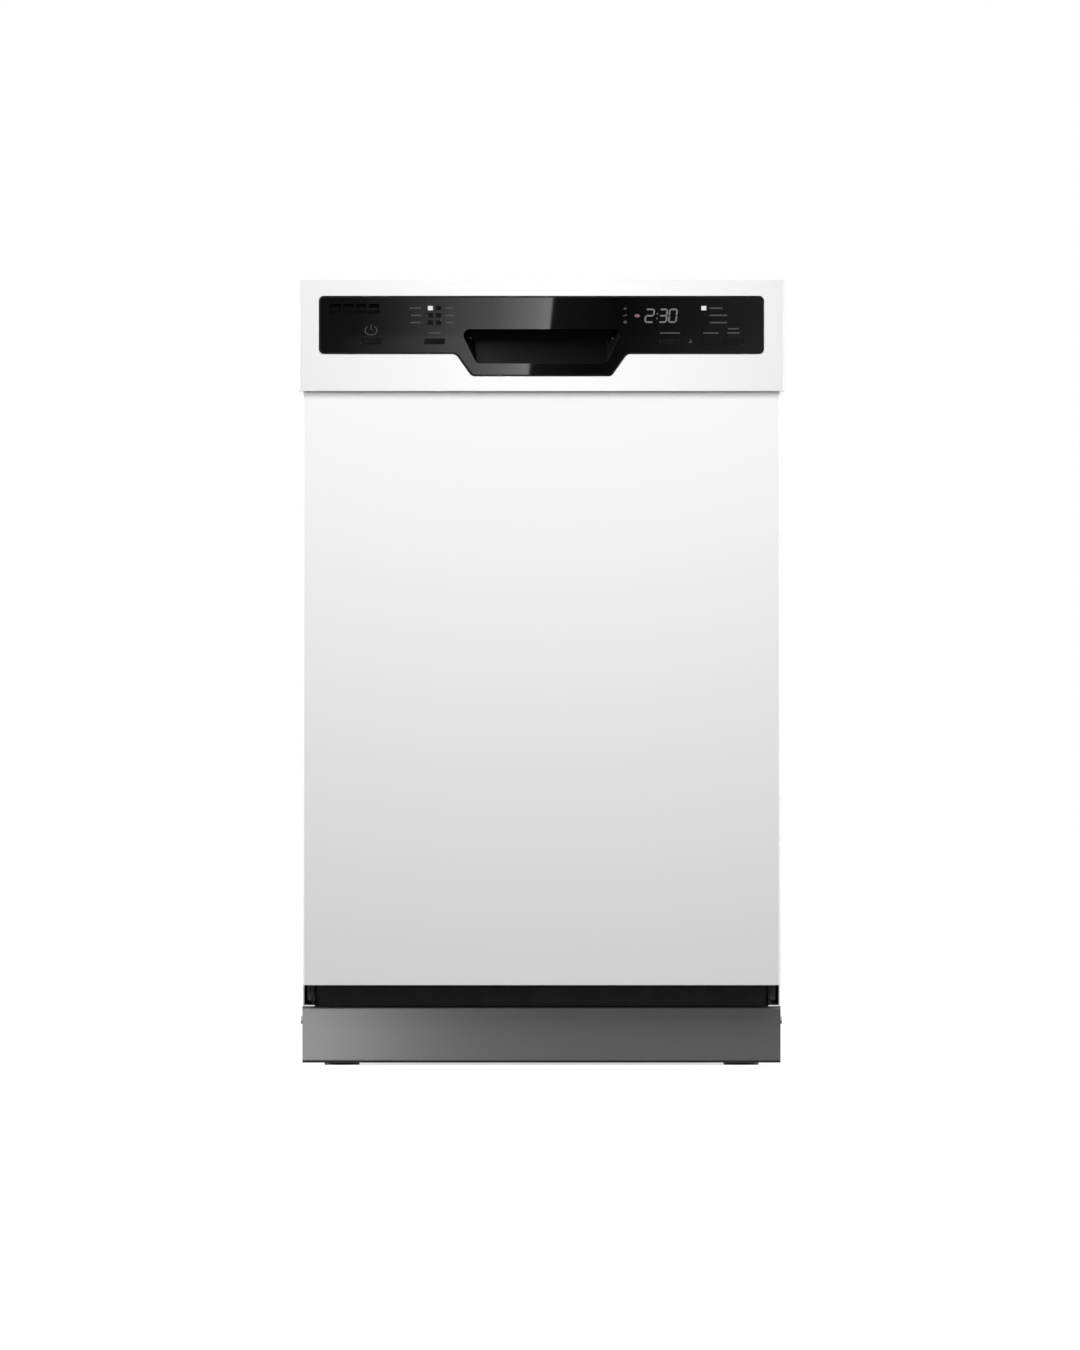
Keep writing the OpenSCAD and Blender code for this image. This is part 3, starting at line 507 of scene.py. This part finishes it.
def fascia_corners(inset):
    """Corner points of the fascia's outline, moved inwards by inset."""
    x0, x1, z1 = fascia[0].x + inset, fascia[1].x - inset, fascia[1].z - inset
    z0, lip = fascia[1].z - STRIP_HEIGHT + inset, fascia[0].z + inset
    run = (LIP_TOP - LIP_BOTTOM) / (z0 - lip)
    slope = inset * (math.sqrt(1 + run * run) - run * 0.5)
    return [
        (x0, z1), (x0, z0), (-LIP_TOP + slope, z0), (-LIP_BOTTOM + slope, lip),
        (LIP_BOTTOM - slope, lip), (LIP_TOP - slope, z0), (x1, z0), (x1, z1),
    ]


def make_fascia_edge_shade():
    """A matt black band along the edge of the glossy fascia: painted shade that stands in for the dark look of
    the fascia's rounded edge.
    """
    rows = []
    for inset, bend in ((0.25 * MM, 5.5 * MM), (EDGE_SHADE_WIDTH, 4.4 * MM)):
        corners = [(x, PRINT_Y, z) for x, z in fascia_corners(inset)]
        rows.append(rounded_path(corners, bend, True, 8))
    count = len(rows[0])
    bm = bmesh.new()
    for y in (PRINT_Y - PRINT_DEPTH, PRINT_Y):
        rings = [[bm.verts.new((p.x, y, p.z)) for p in row] for row in rows]
        for k in range(count):
            n = (k + 1) % count
            bm.faces.new((rings[0][k], rings[0][n], rings[1][n], rings[1][k]))
    bm.verts.ensure_lookup_table()
    for ring in (0, 1):
        for k in range(count):
            n = (k + 1) % count
            a, b = ring * count, (2 + ring) * count
            bm.faces.new([bm.verts[i] for i in (a + k, a + n, b + n, b + k)])
    piece("fascia_edge_shade", bm, EDGE_SHADE_BLACK, "door")


def make_power_mark():
    """An open ring with a stroke in its gap, above the power button."""
    bm = bmesh.new()
    c = middle(buttons["power"])
    z = c.z + 11.4 * MM
    stroke = 0.9 * MM
    ring_mark(bm, c.x, z, 6.6 * MM, 5.2 * MM, stroke, 70)
    low = (c.x - stroke / 2, PRINT_Y - PRINT_DEPTH, z + 0.6 * MM)
    slab(bm, low, (c.x + stroke / 2, PRINT_Y, z + 5.6 * MM))
    piece("power_mark", bm, PRINT_GREY, "door")


def make_small_icons():
    """Three status marks beside the display and a lock mark between two buttons."""
    bm = bmesh.new()
    x = lens[0].x - 6 * MM
    y0 = PRINT_Y - PRINT_DEPTH
    z = [lens[1].z - (3 + 6.9 * k) * MM for k in range(3)]
    plate(bm, ellipse(x, z[0], 1.5 * MM, 1.1 * MM, 12), y0, PRINT_Y)
    for side in (-1, 1):
        mark(bm, x + side * 0.8 * MM, z[1] + side * 0.5 * MM, 2.6 * MM, 0.9 * MM)
    plate(bm, ellipse(x, z[2], 1.9 * MM, 1.5 * MM, 12), y0, PRINT_Y)
    lock_x = (buttons["delay"][1].x + buttons["options"][0].x) / 2
    lock_z = middle(buttons["delay"]).z
    ring_mark(bm, lock_x, lock_z + 0.9 * MM, 1.2 * MM, 1.6 * MM, 0.4 * MM, 1, 16)
    mark(bm, lock_x, lock_z - 0.5 * MM, 3.4 * MM, 2.2 * MM)
    piece("status_marks", bm, PRINT_GREY, "door")


SEGMENTS = {"2": "abged", "3": "abgcd", "0": "abcdef"}
DIGIT_LEAN = 0.1  # sideways shift of a digit for each unit of height
LIT_NEAR, LIT_FAR = lens[0].y - 0.05 * MM, lens[0].y + 0.02 * MM  # the lit figures' front and back


def digit(bm, char, x, z, w, h):
    """A seven-segment digit with its lower left corner at x, z, leaning to the right."""
    t = h * 0.13  # width of a stroke
    gap = t * 0.58
    ends = {
        "a": ((0, h), (w, h)), "b": ((w, h), (w, h / 2)), "c": ((w, h / 2), (w, 0)), "d": ((0, 0), (w, 0)),
        "e": ((0, h / 2), (0, 0)), "f": ((0, h), (0, h / 2)), "g": ((0, h / 2), (w, h / 2)),
    }
    for s in SEGMENTS[char]:
        a, b = (Vector(p) for p in ends[s])
        along = (b - a).normalized()
        across = Vector((-along.y, along.x)) * t / 2
        a, b = a + along * gap, b - along * gap
        tips = (a - along * t / 2, a + across, b + across, b + along * t / 2, b - across, a - across)
        plate(bm, [(x + p.x + DIGIT_LEAN * p.y, z + p.y) for p in tips], LIT_NEAR, LIT_FAR)


def make_display():
    """Three digits with a colon, and a small red lamp at their left."""
    bm = bmesh.new()
    z = lens[0].z + 3.8 * MM
    w, h = 8.2 * MM, 13 * MM
    for char, x, width in (("2", 14.4, w), ("3", 28.6, 0.9 * w), ("0", 38.6, 0.9 * w)):
        digit(bm, char, lens[0].x + x * MM, z, width, h)
    for up in (0.3 * h, 0.66 * h):
        cx = lens[0].x + 26.2 * MM + DIGIT_LEAN * up
        plate(bm, ellipse(cx, z + up, 0.7 * MM, 0.7 * MM, 12), LIT_NEAR, LIT_FAR)
    piece("display_digits", bm, DIGIT_GLOW, "door")
    bm = bmesh.new()
    cx, cz = lens[0].x + 6.4 * MM, middle(lens).z
    plate(bm, ellipse(cx, cz, 2.8 * MM, 1.7 * MM), LIT_NEAR, LIT_FAR)
    piece("display_lamp", bm, RED_GLOW, "door")


# ------------------------------------------------------------------------------------- racks

WIRE = 1.75 * MM  # radii of the wires and of the rim
RIM = 2.6 * MM
RACK_HALF_WIDTH = {"upper_rack": 198 * MM, "lower_rack": 190 * MM}
RACK_FLOOR = {"upper_rack": 470 * MM, "lower_rack": 180 * MM}
FEED_HEIGHT = 463 * MM  # axis of the tube that feeds the upper spray arm
BRACKET_X = 186 * MM  # inner face of the wheel brackets
BASKET_RIM_HEIGHT = 302 * MM


def rack_box(name):
    """The space of a rack's wires: its CAD box without what hangs under it or beside it."""
    low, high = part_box(name)
    hw = RACK_HALF_WIDTH[name]
    return Vector((-hw, low.y, RACK_FLOOR[name])), Vector((hw, high.y, high.z))


def rectangle(x0, x1, y0, y1, z):
    """The four corners of a level rectangle, anticlockwise from above."""
    return [(x0, y0, z), (x1, y0, z), (x1, y1, z), (x0, y1, z)]


def rack_frame(bm, low, high, nx, ny):
    """Rims, and the wires that run down one wall, across the floor and up the other."""
    x0, x1 = low.x + RIM, high.x - RIM
    y0, y1 = low.y + RIM, high.y - RIM
    z0, z1 = low.z + WIRE, high.z - RIM
    margin, rim_bend, wire_bend = 14 * MM, 24 * MM, 15 * MM
    loops = ((z1, RIM, 0), (z0 * 0.45 + z1 * 0.55, WIRE, WIRE), (z0 + 16 * MM, WIRE, WIRE))
    for z, radius, inset in loops:
        loop = rectangle(x0 + inset, x1 - inset, y0 + inset, y1 - inset, z)
        tube(bm, rounded_path(loop, rim_bend, True, 6), radius, True)
    for k in range(ny + 1):
        y = y0 + margin + (y1 - y0 - 2 * margin) * k / ny
        path = [(x0, y, z1), (x0, y, z0), (x1, y, z0), (x1, y, z1)]
        tube(bm, rounded_path(path, wire_bend), WIRE)
    for k in range(nx + 1):
        x = x0 + margin + (x1 - x0 - 2 * margin) * k / nx
        z = z0 + 2 * WIRE
        path = [(x, y0, z1), (x, y0, z), (x, y1, z), (x, y1, z1)]
        tube(bm, rounded_path(path, wire_bend), WIRE)


def tine_row(bm, start, end, count, height, lean):
    """A rod on the floor with a row of plate pins standing on it."""
    start, end = Vector(start), Vector(end)
    tube(bm, [start, end], WIRE)
    for k in range(count):
        foot = start.lerp(end, (k + 0.5) / count)
        tip = foot + Vector((lean, 0, height))
        tube(bm, [foot, foot.lerp(tip, 0.5), tip], WIRE)


def make_rack(name, rows, count, height, lean):
    """A rack's frame with rows of plate pins, at the given places along X in millimetres."""
    low, high = rack_box(name)
    bm = bmesh.new()
    rack_frame(bm, low, high, 11, 12)
    end, lift = 20 * MM, 9 * MM
    for x in rows:
        start = (x * MM, low.y + end, low.z + lift)
        tine_row(bm, start, (x * MM, high.y - end, low.z + lift), count, height, lean)
    piece(name + "_wires", bm, MATERIALS["rack_coating"], name, [name])


def make_upper_feed():
    """The tube under the upper rack that feeds its spray arm, and the arm's post."""
    arm = middle(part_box("upper_spray_arm"))
    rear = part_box("upper_rack")[1].y
    z = FEED_HEIGHT
    bm = bmesh.new()
    tube(bm, [Vector((0, arm.y, z)), Vector((0, rear - 10 * MM, z))], 6.4 * MM, sides=20)
    tube(bm, [Vector((0, rear - 22 * MM, z)), Vector((0, rear - 1 * MM, z))], 8.4 * MM, sides=20)
    post = ((2, -20), (7.9, -20), (7.9, -8), (12, -6), (12.5, 6), (2, 7))
    lathe(bm, (0, arm.y, z), [(r * MM, h * MM) for r, h in post])
    piece("upper_feed_tube", bm, MATERIALS["grey_plastic"], "upper_rack")


def make_wheel_brackets():
    """A bracket with an axle at each wheel of the lower rack."""
    bm = bmesh.new()
    outline = [(-11, 20), (11, 20), (8, -4), (4, -8), (-4, -8), (-8, -4)]
    for name in ("front_left", "front_right", "rear_left", "rear_right"):
        low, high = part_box("wheel_" + name)
        side = 1 if low.x > 0 else -1
        y, z = (low.y + high.y) / 2, (low.z + high.z) / 2
        inner = side * BRACKET_X
        ring = [(inner, y + a * MM, z + b * MM) for a, b in outline]
        loft(bm, [ring, [(inner + side * 4 * MM, b, c) for _, b, c in ring]])
        outer = side * (max(abs(low.x), abs(high.x)) + 0.6 * MM)
        tube(bm, [Vector((inner, y, z)), Vector((outer, y, z))], 2.9 * MM, sides=16)
    piece("wheel_brackets", bm, MATERIALS["light_grey_plastic"], "lower_rack")


def make_cup_shelf():
    """A wire rim with cross wires, which folds up along the left wall of the upper rack."""
    low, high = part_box("cup_shelf")
    bm = bmesh.new()
    z = (low.z + high.z) / 2
    r, thin = 1.45 * MM, 1.2 * MM
    loop = rectangle(low.x + r, high.x - r, low.y + r, high.y - r, z)
    tube(bm, rounded_path(loop, 12 * MM, True), r, True)
    for k in range(1, 9):
        y = low.y + (high.y - low.y) * k / 9
        tube(bm, [Vector((low.x + r, y, z)), Vector((high.x - r, y, z))], thin)
    for x in (low.x + 30 * MM, low.x + 60 * MM):
        tube(bm, [Vector((x, low.y + r, z)), Vector((x, high.y - r, z))], thin)
    piece("cup_shelf_wires", bm, MATERIALS["rack_coating"], "cup_shelf", ["cup_shelf"])


def make_rack_handles():
    """A moulded grip along the front rim of each rack."""
    length, stations = 150 * MM, 24
    for rack in ("upper_rack", "lower_rack"):
        low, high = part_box(rack)
        y, z = low.y + 4.9 * MM, high.z - 12 * MM
        rings = []
        for k in range(stations + 1):
            t = k / stations
            swell = max(0.3, math.sin(math.pi * t) ** 0.35) if 0 < t < 1 else 0.3
            section = ellipse(y, z, 4.5 * MM * swell, 11 * MM * swell, 16)
            rings.append([((t - 0.5) * length, a, b) for a, b in section])
        bm = bmesh.new()
        loft(bm, rings)
        piece(rack + "_grip", bm, MATERIALS["grey_plastic"], rack)


def make_cutlery_basket():
    """Bands and upright bars round four cells, a barred floor, and a handle on a spine."""
    low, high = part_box("cutlery_basket")
    z1 = BASKET_RIM_HEIGHT
    bar, band = 1.2 * MM, 9 * MM  # half the width of a bar, the height of a band
    along_y, along_x, cells = 26, 11, 4
    bm = bmesh.new()
    rim = rectangle(low.x + bar, high.x - bar, low.y + bar, high.y - bar, z1)
    tube(bm, rounded_path(rim, 8 * MM, True), 2.2 * MM, True)
    for z in (low.z, (low.z + z1) / 2):
        for y in (low.y, high.y - 2 * bar):
            slab(bm, (low.x, y, z), (high.x, y + 2 * bar, z + band))
        for x in (low.x, high.x - 2 * bar):
            slab(bm, (x, low.y, z), (x + 2 * bar, high.y, z + band))
    for k in range(along_y + 1):
        y = low.y + bar + (high.y - low.y - 2 * bar) * k / along_y
        for x in (low.x + 0.2 * MM, high.x - 2.2 * MM):
            slab(bm, (x, y - bar, low.z), (x + 2 * MM, y + bar, z1))
        slab(bm, (low.x, y - bar, low.z), (high.x, y + bar, low.z + 2.2 * MM))
    for k in range(along_x + 1):
        x = low.x + bar + (high.x - low.x - 2 * bar) * k / along_x
        for y in (low.y + 0.2 * MM, high.y - 2.2 * MM):
            slab(bm, (x - bar, y, low.z), (x + bar, y + 2 * MM, z1))
        slab(bm, (x - bar, low.y, low.z + 0.3 * MM), (x + bar, high.y, low.z + 2.4 * MM))
    for k in range(1, cells):
        y = low.y + (high.y - low.y) * k / cells
        slab(bm, (low.x, y - bar, low.z), (high.x, y + bar, z1 - 4 * MM))
    cx, cy = (low.x + high.x) / 2, (low.y + high.y) / 2
    reach, thick = 32 * MM, 2.8 * MM
    foot, grip = z1 - 2 * MM, high.z - thick
    handle = [(cx, cy - reach, foot), (cx, cy - reach, grip), (cx, cy + reach, grip), (cx, cy + reach, foot)]
    tube(bm, rounded_path(handle, 12 * MM), thick, sides=14)
    slab(bm, (cx - bar, cy - 36 * MM, z1 - 30 * MM), (cx + bar, cy + 36 * MM, z1))
    grey = MATERIALS["grey_plastic"]
    piece("cutlery_basket_grid", bm, grey, "cutlery_basket", ["cutlery_basket"])


# -------------------------------------------------------------------------------- spray arms


STATIONS = 60  # sections along the two blades together
TIP = 0.07  # share of a blade over which its end rounds off
SWAY = 6 * MM  # how far the blades' ends lie off the straight line


def make_spray_arm(name, piece_name, post):
    """Two domed blades with a row of nozzles, round a stepped hub that turns on a post."""
    low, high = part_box(name)
    c = middle((low, high))
    reach = (high.x - low.x) / 2 - 1 * MM
    z0, z1 = low.z + 4.2 * MM, high.z - 4.2 * MM
    bm = bmesh.new()
    rings = []
    for k in range(STATIONS + 1):
        u = -1 + 2 * k / STATIONS
        end = math.sqrt(max(0.0, 1 - max(0.0, (abs(u) - 1 + TIP) / TIP) ** 2))
        half = (16.5 - 5.5 * abs(u)) * MM * max(end, 0.12)
        rise = (z1 - z0) * (0.5 + 0.5 * max(end, 0.2)) / 2
        ring = []
        for s in range(16):
            a = 2 * math.pi * s / 16
            dy = half * math.copysign(abs(math.cos(a)) ** 0.8, math.cos(a))
            dz = rise * math.copysign(abs(math.sin(a)) ** 0.8, math.sin(a))
            ring.append((c.x + u * reach, c.y + u * SWAY + dy, (z0 + z1) / 2 + dz))
        rings.append(ring)
    loft(bm, rings)
    h0, h1 = low.z - c.z, high.z - c.z
    lathe(bm, c, [
        (post, h0), (16 * MM, h0), (19 * MM, h0 + 3 * MM), (19 * MM, h1 - 5 * MM), (15 * MM, h1), (post, h1),
    ])
    piece(piece_name, bm, MATERIALS["stainless"], name, [name])
    nozzle = [(r * MM, h * MM) for r, h in ((0.9, -1), (2.6, -1), (2.4, 0.7), (0.9, 0.9))]
    stagger = 6 * MM
    bm = bmesh.new()
    for side in (-1, 1):
        for k in range(6):
            u = side * (0.2 + 0.135 * k)
            y = c.y + u * SWAY + (k % 2 - 0.5) * stagger
            lathe(bm, (c.x + u * reach, y, z1 - 0.5 * MM), nozzle, 14)
    piece(piece_name + "_nozzles", bm, MATERIALS["base_plastic"], name)


# -------------------------------------------------------------------- pressings and perforation


def pressed_rib(bm, start, end, width, depth, outward):
    """A long shallow pressing with tapered ends, standing out of a flat sheet."""
    start, end, out = Vector(start), Vector(end), Vector(outward)
    across = (end - start).normalized().cross(out).normalized()
    stations, sides = 20, 8
    rings = []
    for k in range(stations + 1):
        t = k / stations
        taper = min(1, min(t, 1 - t) * 12)
        swell = max(0.04, math.sin(taper * math.pi / 2))
        p = start.lerp(end, t)
        ring = []
        for s in range(sides + 1):
            a = math.pi * s / sides
            lift = depth * swell * (math.sin(a) ** 1.3) - 0.3 * MM  # its foot lies inside the sheet
            ring.append(p + across * (width / 2 * (0.3 + 0.7 * swell)) * math.cos(a) + out * lift)
        rings.append(ring)
    loft(bm, rings)


TUB_HALF_WIDTH = 218 * MM  # inside
TUB_SHEET = 1.2 * MM
RIB_WIDTH, RIB_DEPTH = 22 * MM, 2.6 * MM


def make_tub_pressings():
    """Level ribs in the tub's side walls and upright ribs in its rear wall."""
    low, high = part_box("tub")
    bm = bmesh.new()
    y0, y1 = low.y + 50 * MM, high.y - 45 * MM
    for side in (-1, 1):
        x = side * TUB_HALF_WIDTH
        for z in (260 * MM, 350 * MM, 640 * MM, 700 * MM):
            pressed_rib(bm, (x, y0, z), (x, y1, z), RIB_WIDTH, RIB_DEPTH, (-side, 0, 0))
    back, z0, z1 = high.y - TUB_SHEET, 230 * MM, 700 * MM
    for x in (-150 * MM, -90 * MM, 90 * MM, 150 * MM):
        pressed_rib(bm, (x, back, z0), (x, back, z1), RIB_WIDTH, RIB_DEPTH, (0, -1, 0))
    piece("tub_pressings", bm, MATERIALS["stainless"], "cabinet")


def make_filter_perforation():
    """The filter plate's perforation: rings of small dark eyelets round the arm's post and the filter."""
    low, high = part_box("filter_plate")
    c = middle((low, high))
    clear = [(middle(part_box("lower_spray_arm")), 24 * MM), (middle(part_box("filter_cylinder")), 37 * MM)]
    eyelet = [(r * MM, h * MM) for r, h in ((0.2, -0.3), (1.3, -0.3), (1.2, 0.06), (0.2, 0.08))]
    pitch = 4.8 * MM
    bm = bmesh.new()
    for ring in range(3, 17):
        radius = ring * pitch
        count = int(2 * math.pi * radius / pitch)
        for k in range(count):
            a = 2 * math.pi * (k + 0.5 * (ring % 2)) / count
            p = Vector((c.x + radius * math.cos(a), c.y + radius * math.sin(a), high.z))
            if all((p.xy - q.xy).length > r for q, r in clear):
                lathe(bm, p, eyelet, 8)
    piece("filter_perforation", bm, MATERIALS["base_plastic"], "cabinet")


# ------------------------------------------------------------------------------ light and stage


def stage_sheet(name, corners, material):
    """A flat sheet that belongs to the stage, not to the object."""
    bm = bmesh.new()
    bm.faces.new([bm.verts.new(p) for p in corners])
    mesh = bpy.data.meshes.new(name)
    bm.to_mesh(mesh)
    bm.free()
    obj = bpy.data.objects.new(name, mesh)
    scene.collection.objects.link(obj)
    mesh.materials.append(material)
    return obj


def card_paint(stops, slant, step, step_z):
    """Emission that follows a ramp along X. Height shifts it sideways by slant, and by step above step_z."""
    material = bpy.data.materials.new("card_light")
    material.use_nodes = True
    tree = material.node_tree
    tree.nodes.clear()
    place = tree.nodes.new("ShaderNodeTexCoord")
    split = tree.nodes.new("ShaderNodeSeparateXYZ")
    tilt = tree.nodes.new("ShaderNodeMath")
    tilt.operation = "MULTIPLY_ADD"
    tilt.inputs[1].default_value = -slant
    ramp = tree.nodes.new("ShaderNodeValToRGB")
    spread = tree.nodes.new("ShaderNodeMapRange")
    emit = tree.nodes.new("ShaderNodeEmission")
    out = tree.nodes.new("ShaderNodeOutputMaterial")
    tree.links.new(place.outputs["Object"], split.inputs[0])
    tree.links.new(split.outputs["Z"], tilt.inputs[0])
    tree.links.new(split.outputs["X"], tilt.inputs[2])
    above = tree.nodes.new("ShaderNodeMath")
    above.operation = "GREATER_THAN"
    above.inputs[1].default_value = step_z
    shift = tree.nodes.new("ShaderNodeMath")
    shift.operation = "MULTIPLY_ADD"
    shift.inputs[1].default_value = -step
    tree.links.new(split.outputs["Z"], above.inputs[0])
    tree.links.new(above.outputs[0], shift.inputs[0])
    tree.links.new(tilt.outputs[0], shift.inputs[2])
    tree.links.new(shift.outputs[0], spread.inputs["Value"])
    first, last = stops[0][0], stops[-1][0]
    spread.inputs["From Min"].default_value = first
    spread.inputs["From Max"].default_value = last
    tree.links.new(spread.outputs["Result"], ramp.inputs["Fac"])
    elements = ramp.color_ramp.elements
    while len(elements) < len(stops):
        elements.new(0.5)
    peak = max(v for _, v in stops)
    for element, (x, value) in zip(elements, stops):
        element.position = (x - first) / (last - first)
        element.color = (value / peak, value / peak, value / peak, 1)
    emit.inputs["Strength"].default_value = peak
    tree.links.new(ramp.outputs["Color"], emit.inputs["Color"])
    tree.links.new(emit.outputs[0], out.inputs["Surface"])
    return material


def make_card():
    """A softbox that only mirrors see, brightening from the left up to a slanted edge near the middle."""
    distance = 3.0
    y = console[0].y - distance
    scale = 1 + distance / CAMERA_DISTANCE  # how far the mirror spreads the fascia's view

    def seen_at(z):
        return EYE_HEIGHT + (z - EYE_HEIGHT) * scale

    slant, step = 0.1, 0.017
    mid = slant * seen_at(middle(fascia).z + 10 * MM)
    edge = -0.0075
    stops = [  # place on the fascia, strength
        (-0.262, 0.12), (-0.207, 0.16), (-0.167, 0.4), (-0.127, 0.85), (-0.097, 1.35), (-0.067, 1.75),
        (-0.027, 3.1), (edge - 0.001, 4.3), (edge, 0.16), (0.03, 0.1), (0.06, 0.06), (0.1, 0.12), (0.24, 0.42),
    ]
    placed = [(x * scale - mid, strength) for x, strength in stops]
    paint = card_paint(placed, slant, step * scale, seen_at(middle(fascia).z))
    hw, z0, z1 = 1.6, -1.2, 2.6
    card = stage_sheet("front_card", ((-hw, y, z0), (hw, y, z0), (hw, y, z1), (-hw, y, z1)), paint)
    card.visible_camera = card.visible_diffuse = card.visible_shadow = card.visible_transmission = False


def area_light(name, place, target, size, power, receivers=None, keep_off=None):
    """A rectangular light that shines on all nodes, on the receivers only, or on all but keep_off."""
    data = bpy.data.lights.new(name, "AREA")
    data.shape = "RECTANGLE"
    data.size, data.size_y = size
    data.energy = power
    obj = bpy.data.objects.new(name, data)
    obj.location = place
    direction = Vector(target) - Vector(place)
    obj.rotation_euler = direction.to_track_quat("-Z", "Y").to_euler()
    obj.visible_camera = False
    scene.collection.objects.link(obj)
    if receivers or keep_off:
        group = bpy.data.collections.new(name + "_receivers")
        for r in receivers or keep_off:
            group.objects.link(nodes[r])
        if keep_off:
            for member in group.collection_objects:
                member.light_linking.link_state = "EXCLUDE"
        obj.light_linking.receiver_collection = group


def make_world():
    """A white surround for the camera; for light it is bright overhead and dim below."""
    world = bpy.data.worlds.new("studio")
    scene.world = world
    world.use_nodes = True
    tree = world.node_tree
    tree.nodes.clear()
    place = tree.nodes.new("ShaderNodeTexCoord")
    split = tree.nodes.new("ShaderNodeSeparateXYZ")
    height = tree.nodes.new("ShaderNodeMapRange")
    height.inputs["From Min"].default_value = -1
    height.inputs["To Min"].default_value = 0.08
    height.inputs["To Max"].default_value = 0.6
    rays = tree.nodes.new("ShaderNodeLightPath")
    choose = tree.nodes.new("ShaderNodeMix")
    background = tree.nodes.new("ShaderNodeBackground")
    out = tree.nodes.new("ShaderNodeOutputWorld")
    tree.links.new(place.outputs["Generated"], split.inputs[0])
    tree.links.new(split.outputs["Z"], height.inputs["Value"])
    tree.links.new(rays.outputs["Is Camera Ray"], choose.inputs[0])
    tree.links.new(height.outputs["Result"], choose.inputs[2])
    choose.inputs[3].default_value = 1.0
    tree.links.new(choose.outputs[0], background.inputs["Strength"])
    background.inputs["Color"].default_value = (1, 1, 1, 1)
    tree.links.new(background.outputs[0], out.inputs["Surface"])


def make_floor():
    """A white floor that glows a little, so that only the soft shadow shows on it."""
    size = 40.0
    paint = Paint("floor", (0.9, 0.9, 0.9), 0.9, **{"Specular IOR Level": 0.0})
    paint.shader.inputs["Emission Color"].default_value = (1, 1, 1, 1)
    paint.shader.inputs["Emission Strength"].default_value = 0.62
    floor = stage_sheet("floor", rectangle(-size, size, -size, size, 0), paint.material)
    floor.visible_diffuse = floor.visible_glossy = False


def make_lights():
    """A wide key light from above, small lights for single pieces, and a strip at each side."""
    face = (0, front, middle(console).z)
    pocket = middle(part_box("handle_pocket"))
    kick_target = (kick[0].x - 0.02, kick[0].y, 0.04)
    strip_target = (0, panel[0].y + 0.12, 0.42)
    own_lights = ["console_housing", "handle_pocket", "console_fascia", "display_lens"]
    own_lights += [name + "_button" for name in buttons]
    key = ((0, front - 1.0, top + 0.2), (0, front, 0.5), (1.6, 0.5))  # place, target, size
    area_light("top_key", *key, 12.3, keep_off=own_lights)
    area_light("console_key", *key, 6.5, ["console_housing"])
    area_light("console_glow", (0, front - 0.5, face[2]), face, (0.08, 0.5), 0.9, ["console_housing"])
    pocket_place = (-0.1, front - 0.065, pocket.z + 0.07)
    area_light("pocket_glow", pocket_place, (-0.065, front, pocket.z), (0.04, 0.08), 2.5, ["handle_pocket"])
    kick_place = (kick_target[0], kick[0].y - 0.45, kick_target[2])
    area_light("kick_side", kick_place, kick_target, (0.1, 0.1), 0.31, ["kick_plate"])
    for side, power in ((-1, 12), (1, 9.5)):
        strip_place = (side * 1.3, strip_target[1], strip_target[2])
        area_light("side_strip", strip_place, strip_target, (0.16, 0.9), power)


def make_stage():
    make_world()
    make_floor()
    make_card()
    make_lights()
    scene.view_settings.view_transform = "Standard"
    scene.view_settings.look = "None"


# ----------------------------------------------------------------------------------- build it

make_camera()
dress_cad_nodes()
make_fascia_edge_shade()
make_labels()
make_power_mark()
make_small_icons()
make_display()
make_rack("upper_rack", (-62, 12, 86), 13, 52 * MM, 9 * MM)
make_upper_feed()
make_rack("lower_rack", (-150, -92, -34, 24), 14, 78 * MM, 12 * MM)
make_wheel_brackets()
make_cup_shelf()
make_rack_handles()
make_cutlery_basket()
make_spray_arm("upper_spray_arm", "upper_arm_blades", 8.1 * MM)
make_spray_arm("lower_spray_arm", "lower_arm_blades", 9.1 * MM)
make_tub_pressings()
make_filter_perforation()
make_stage()
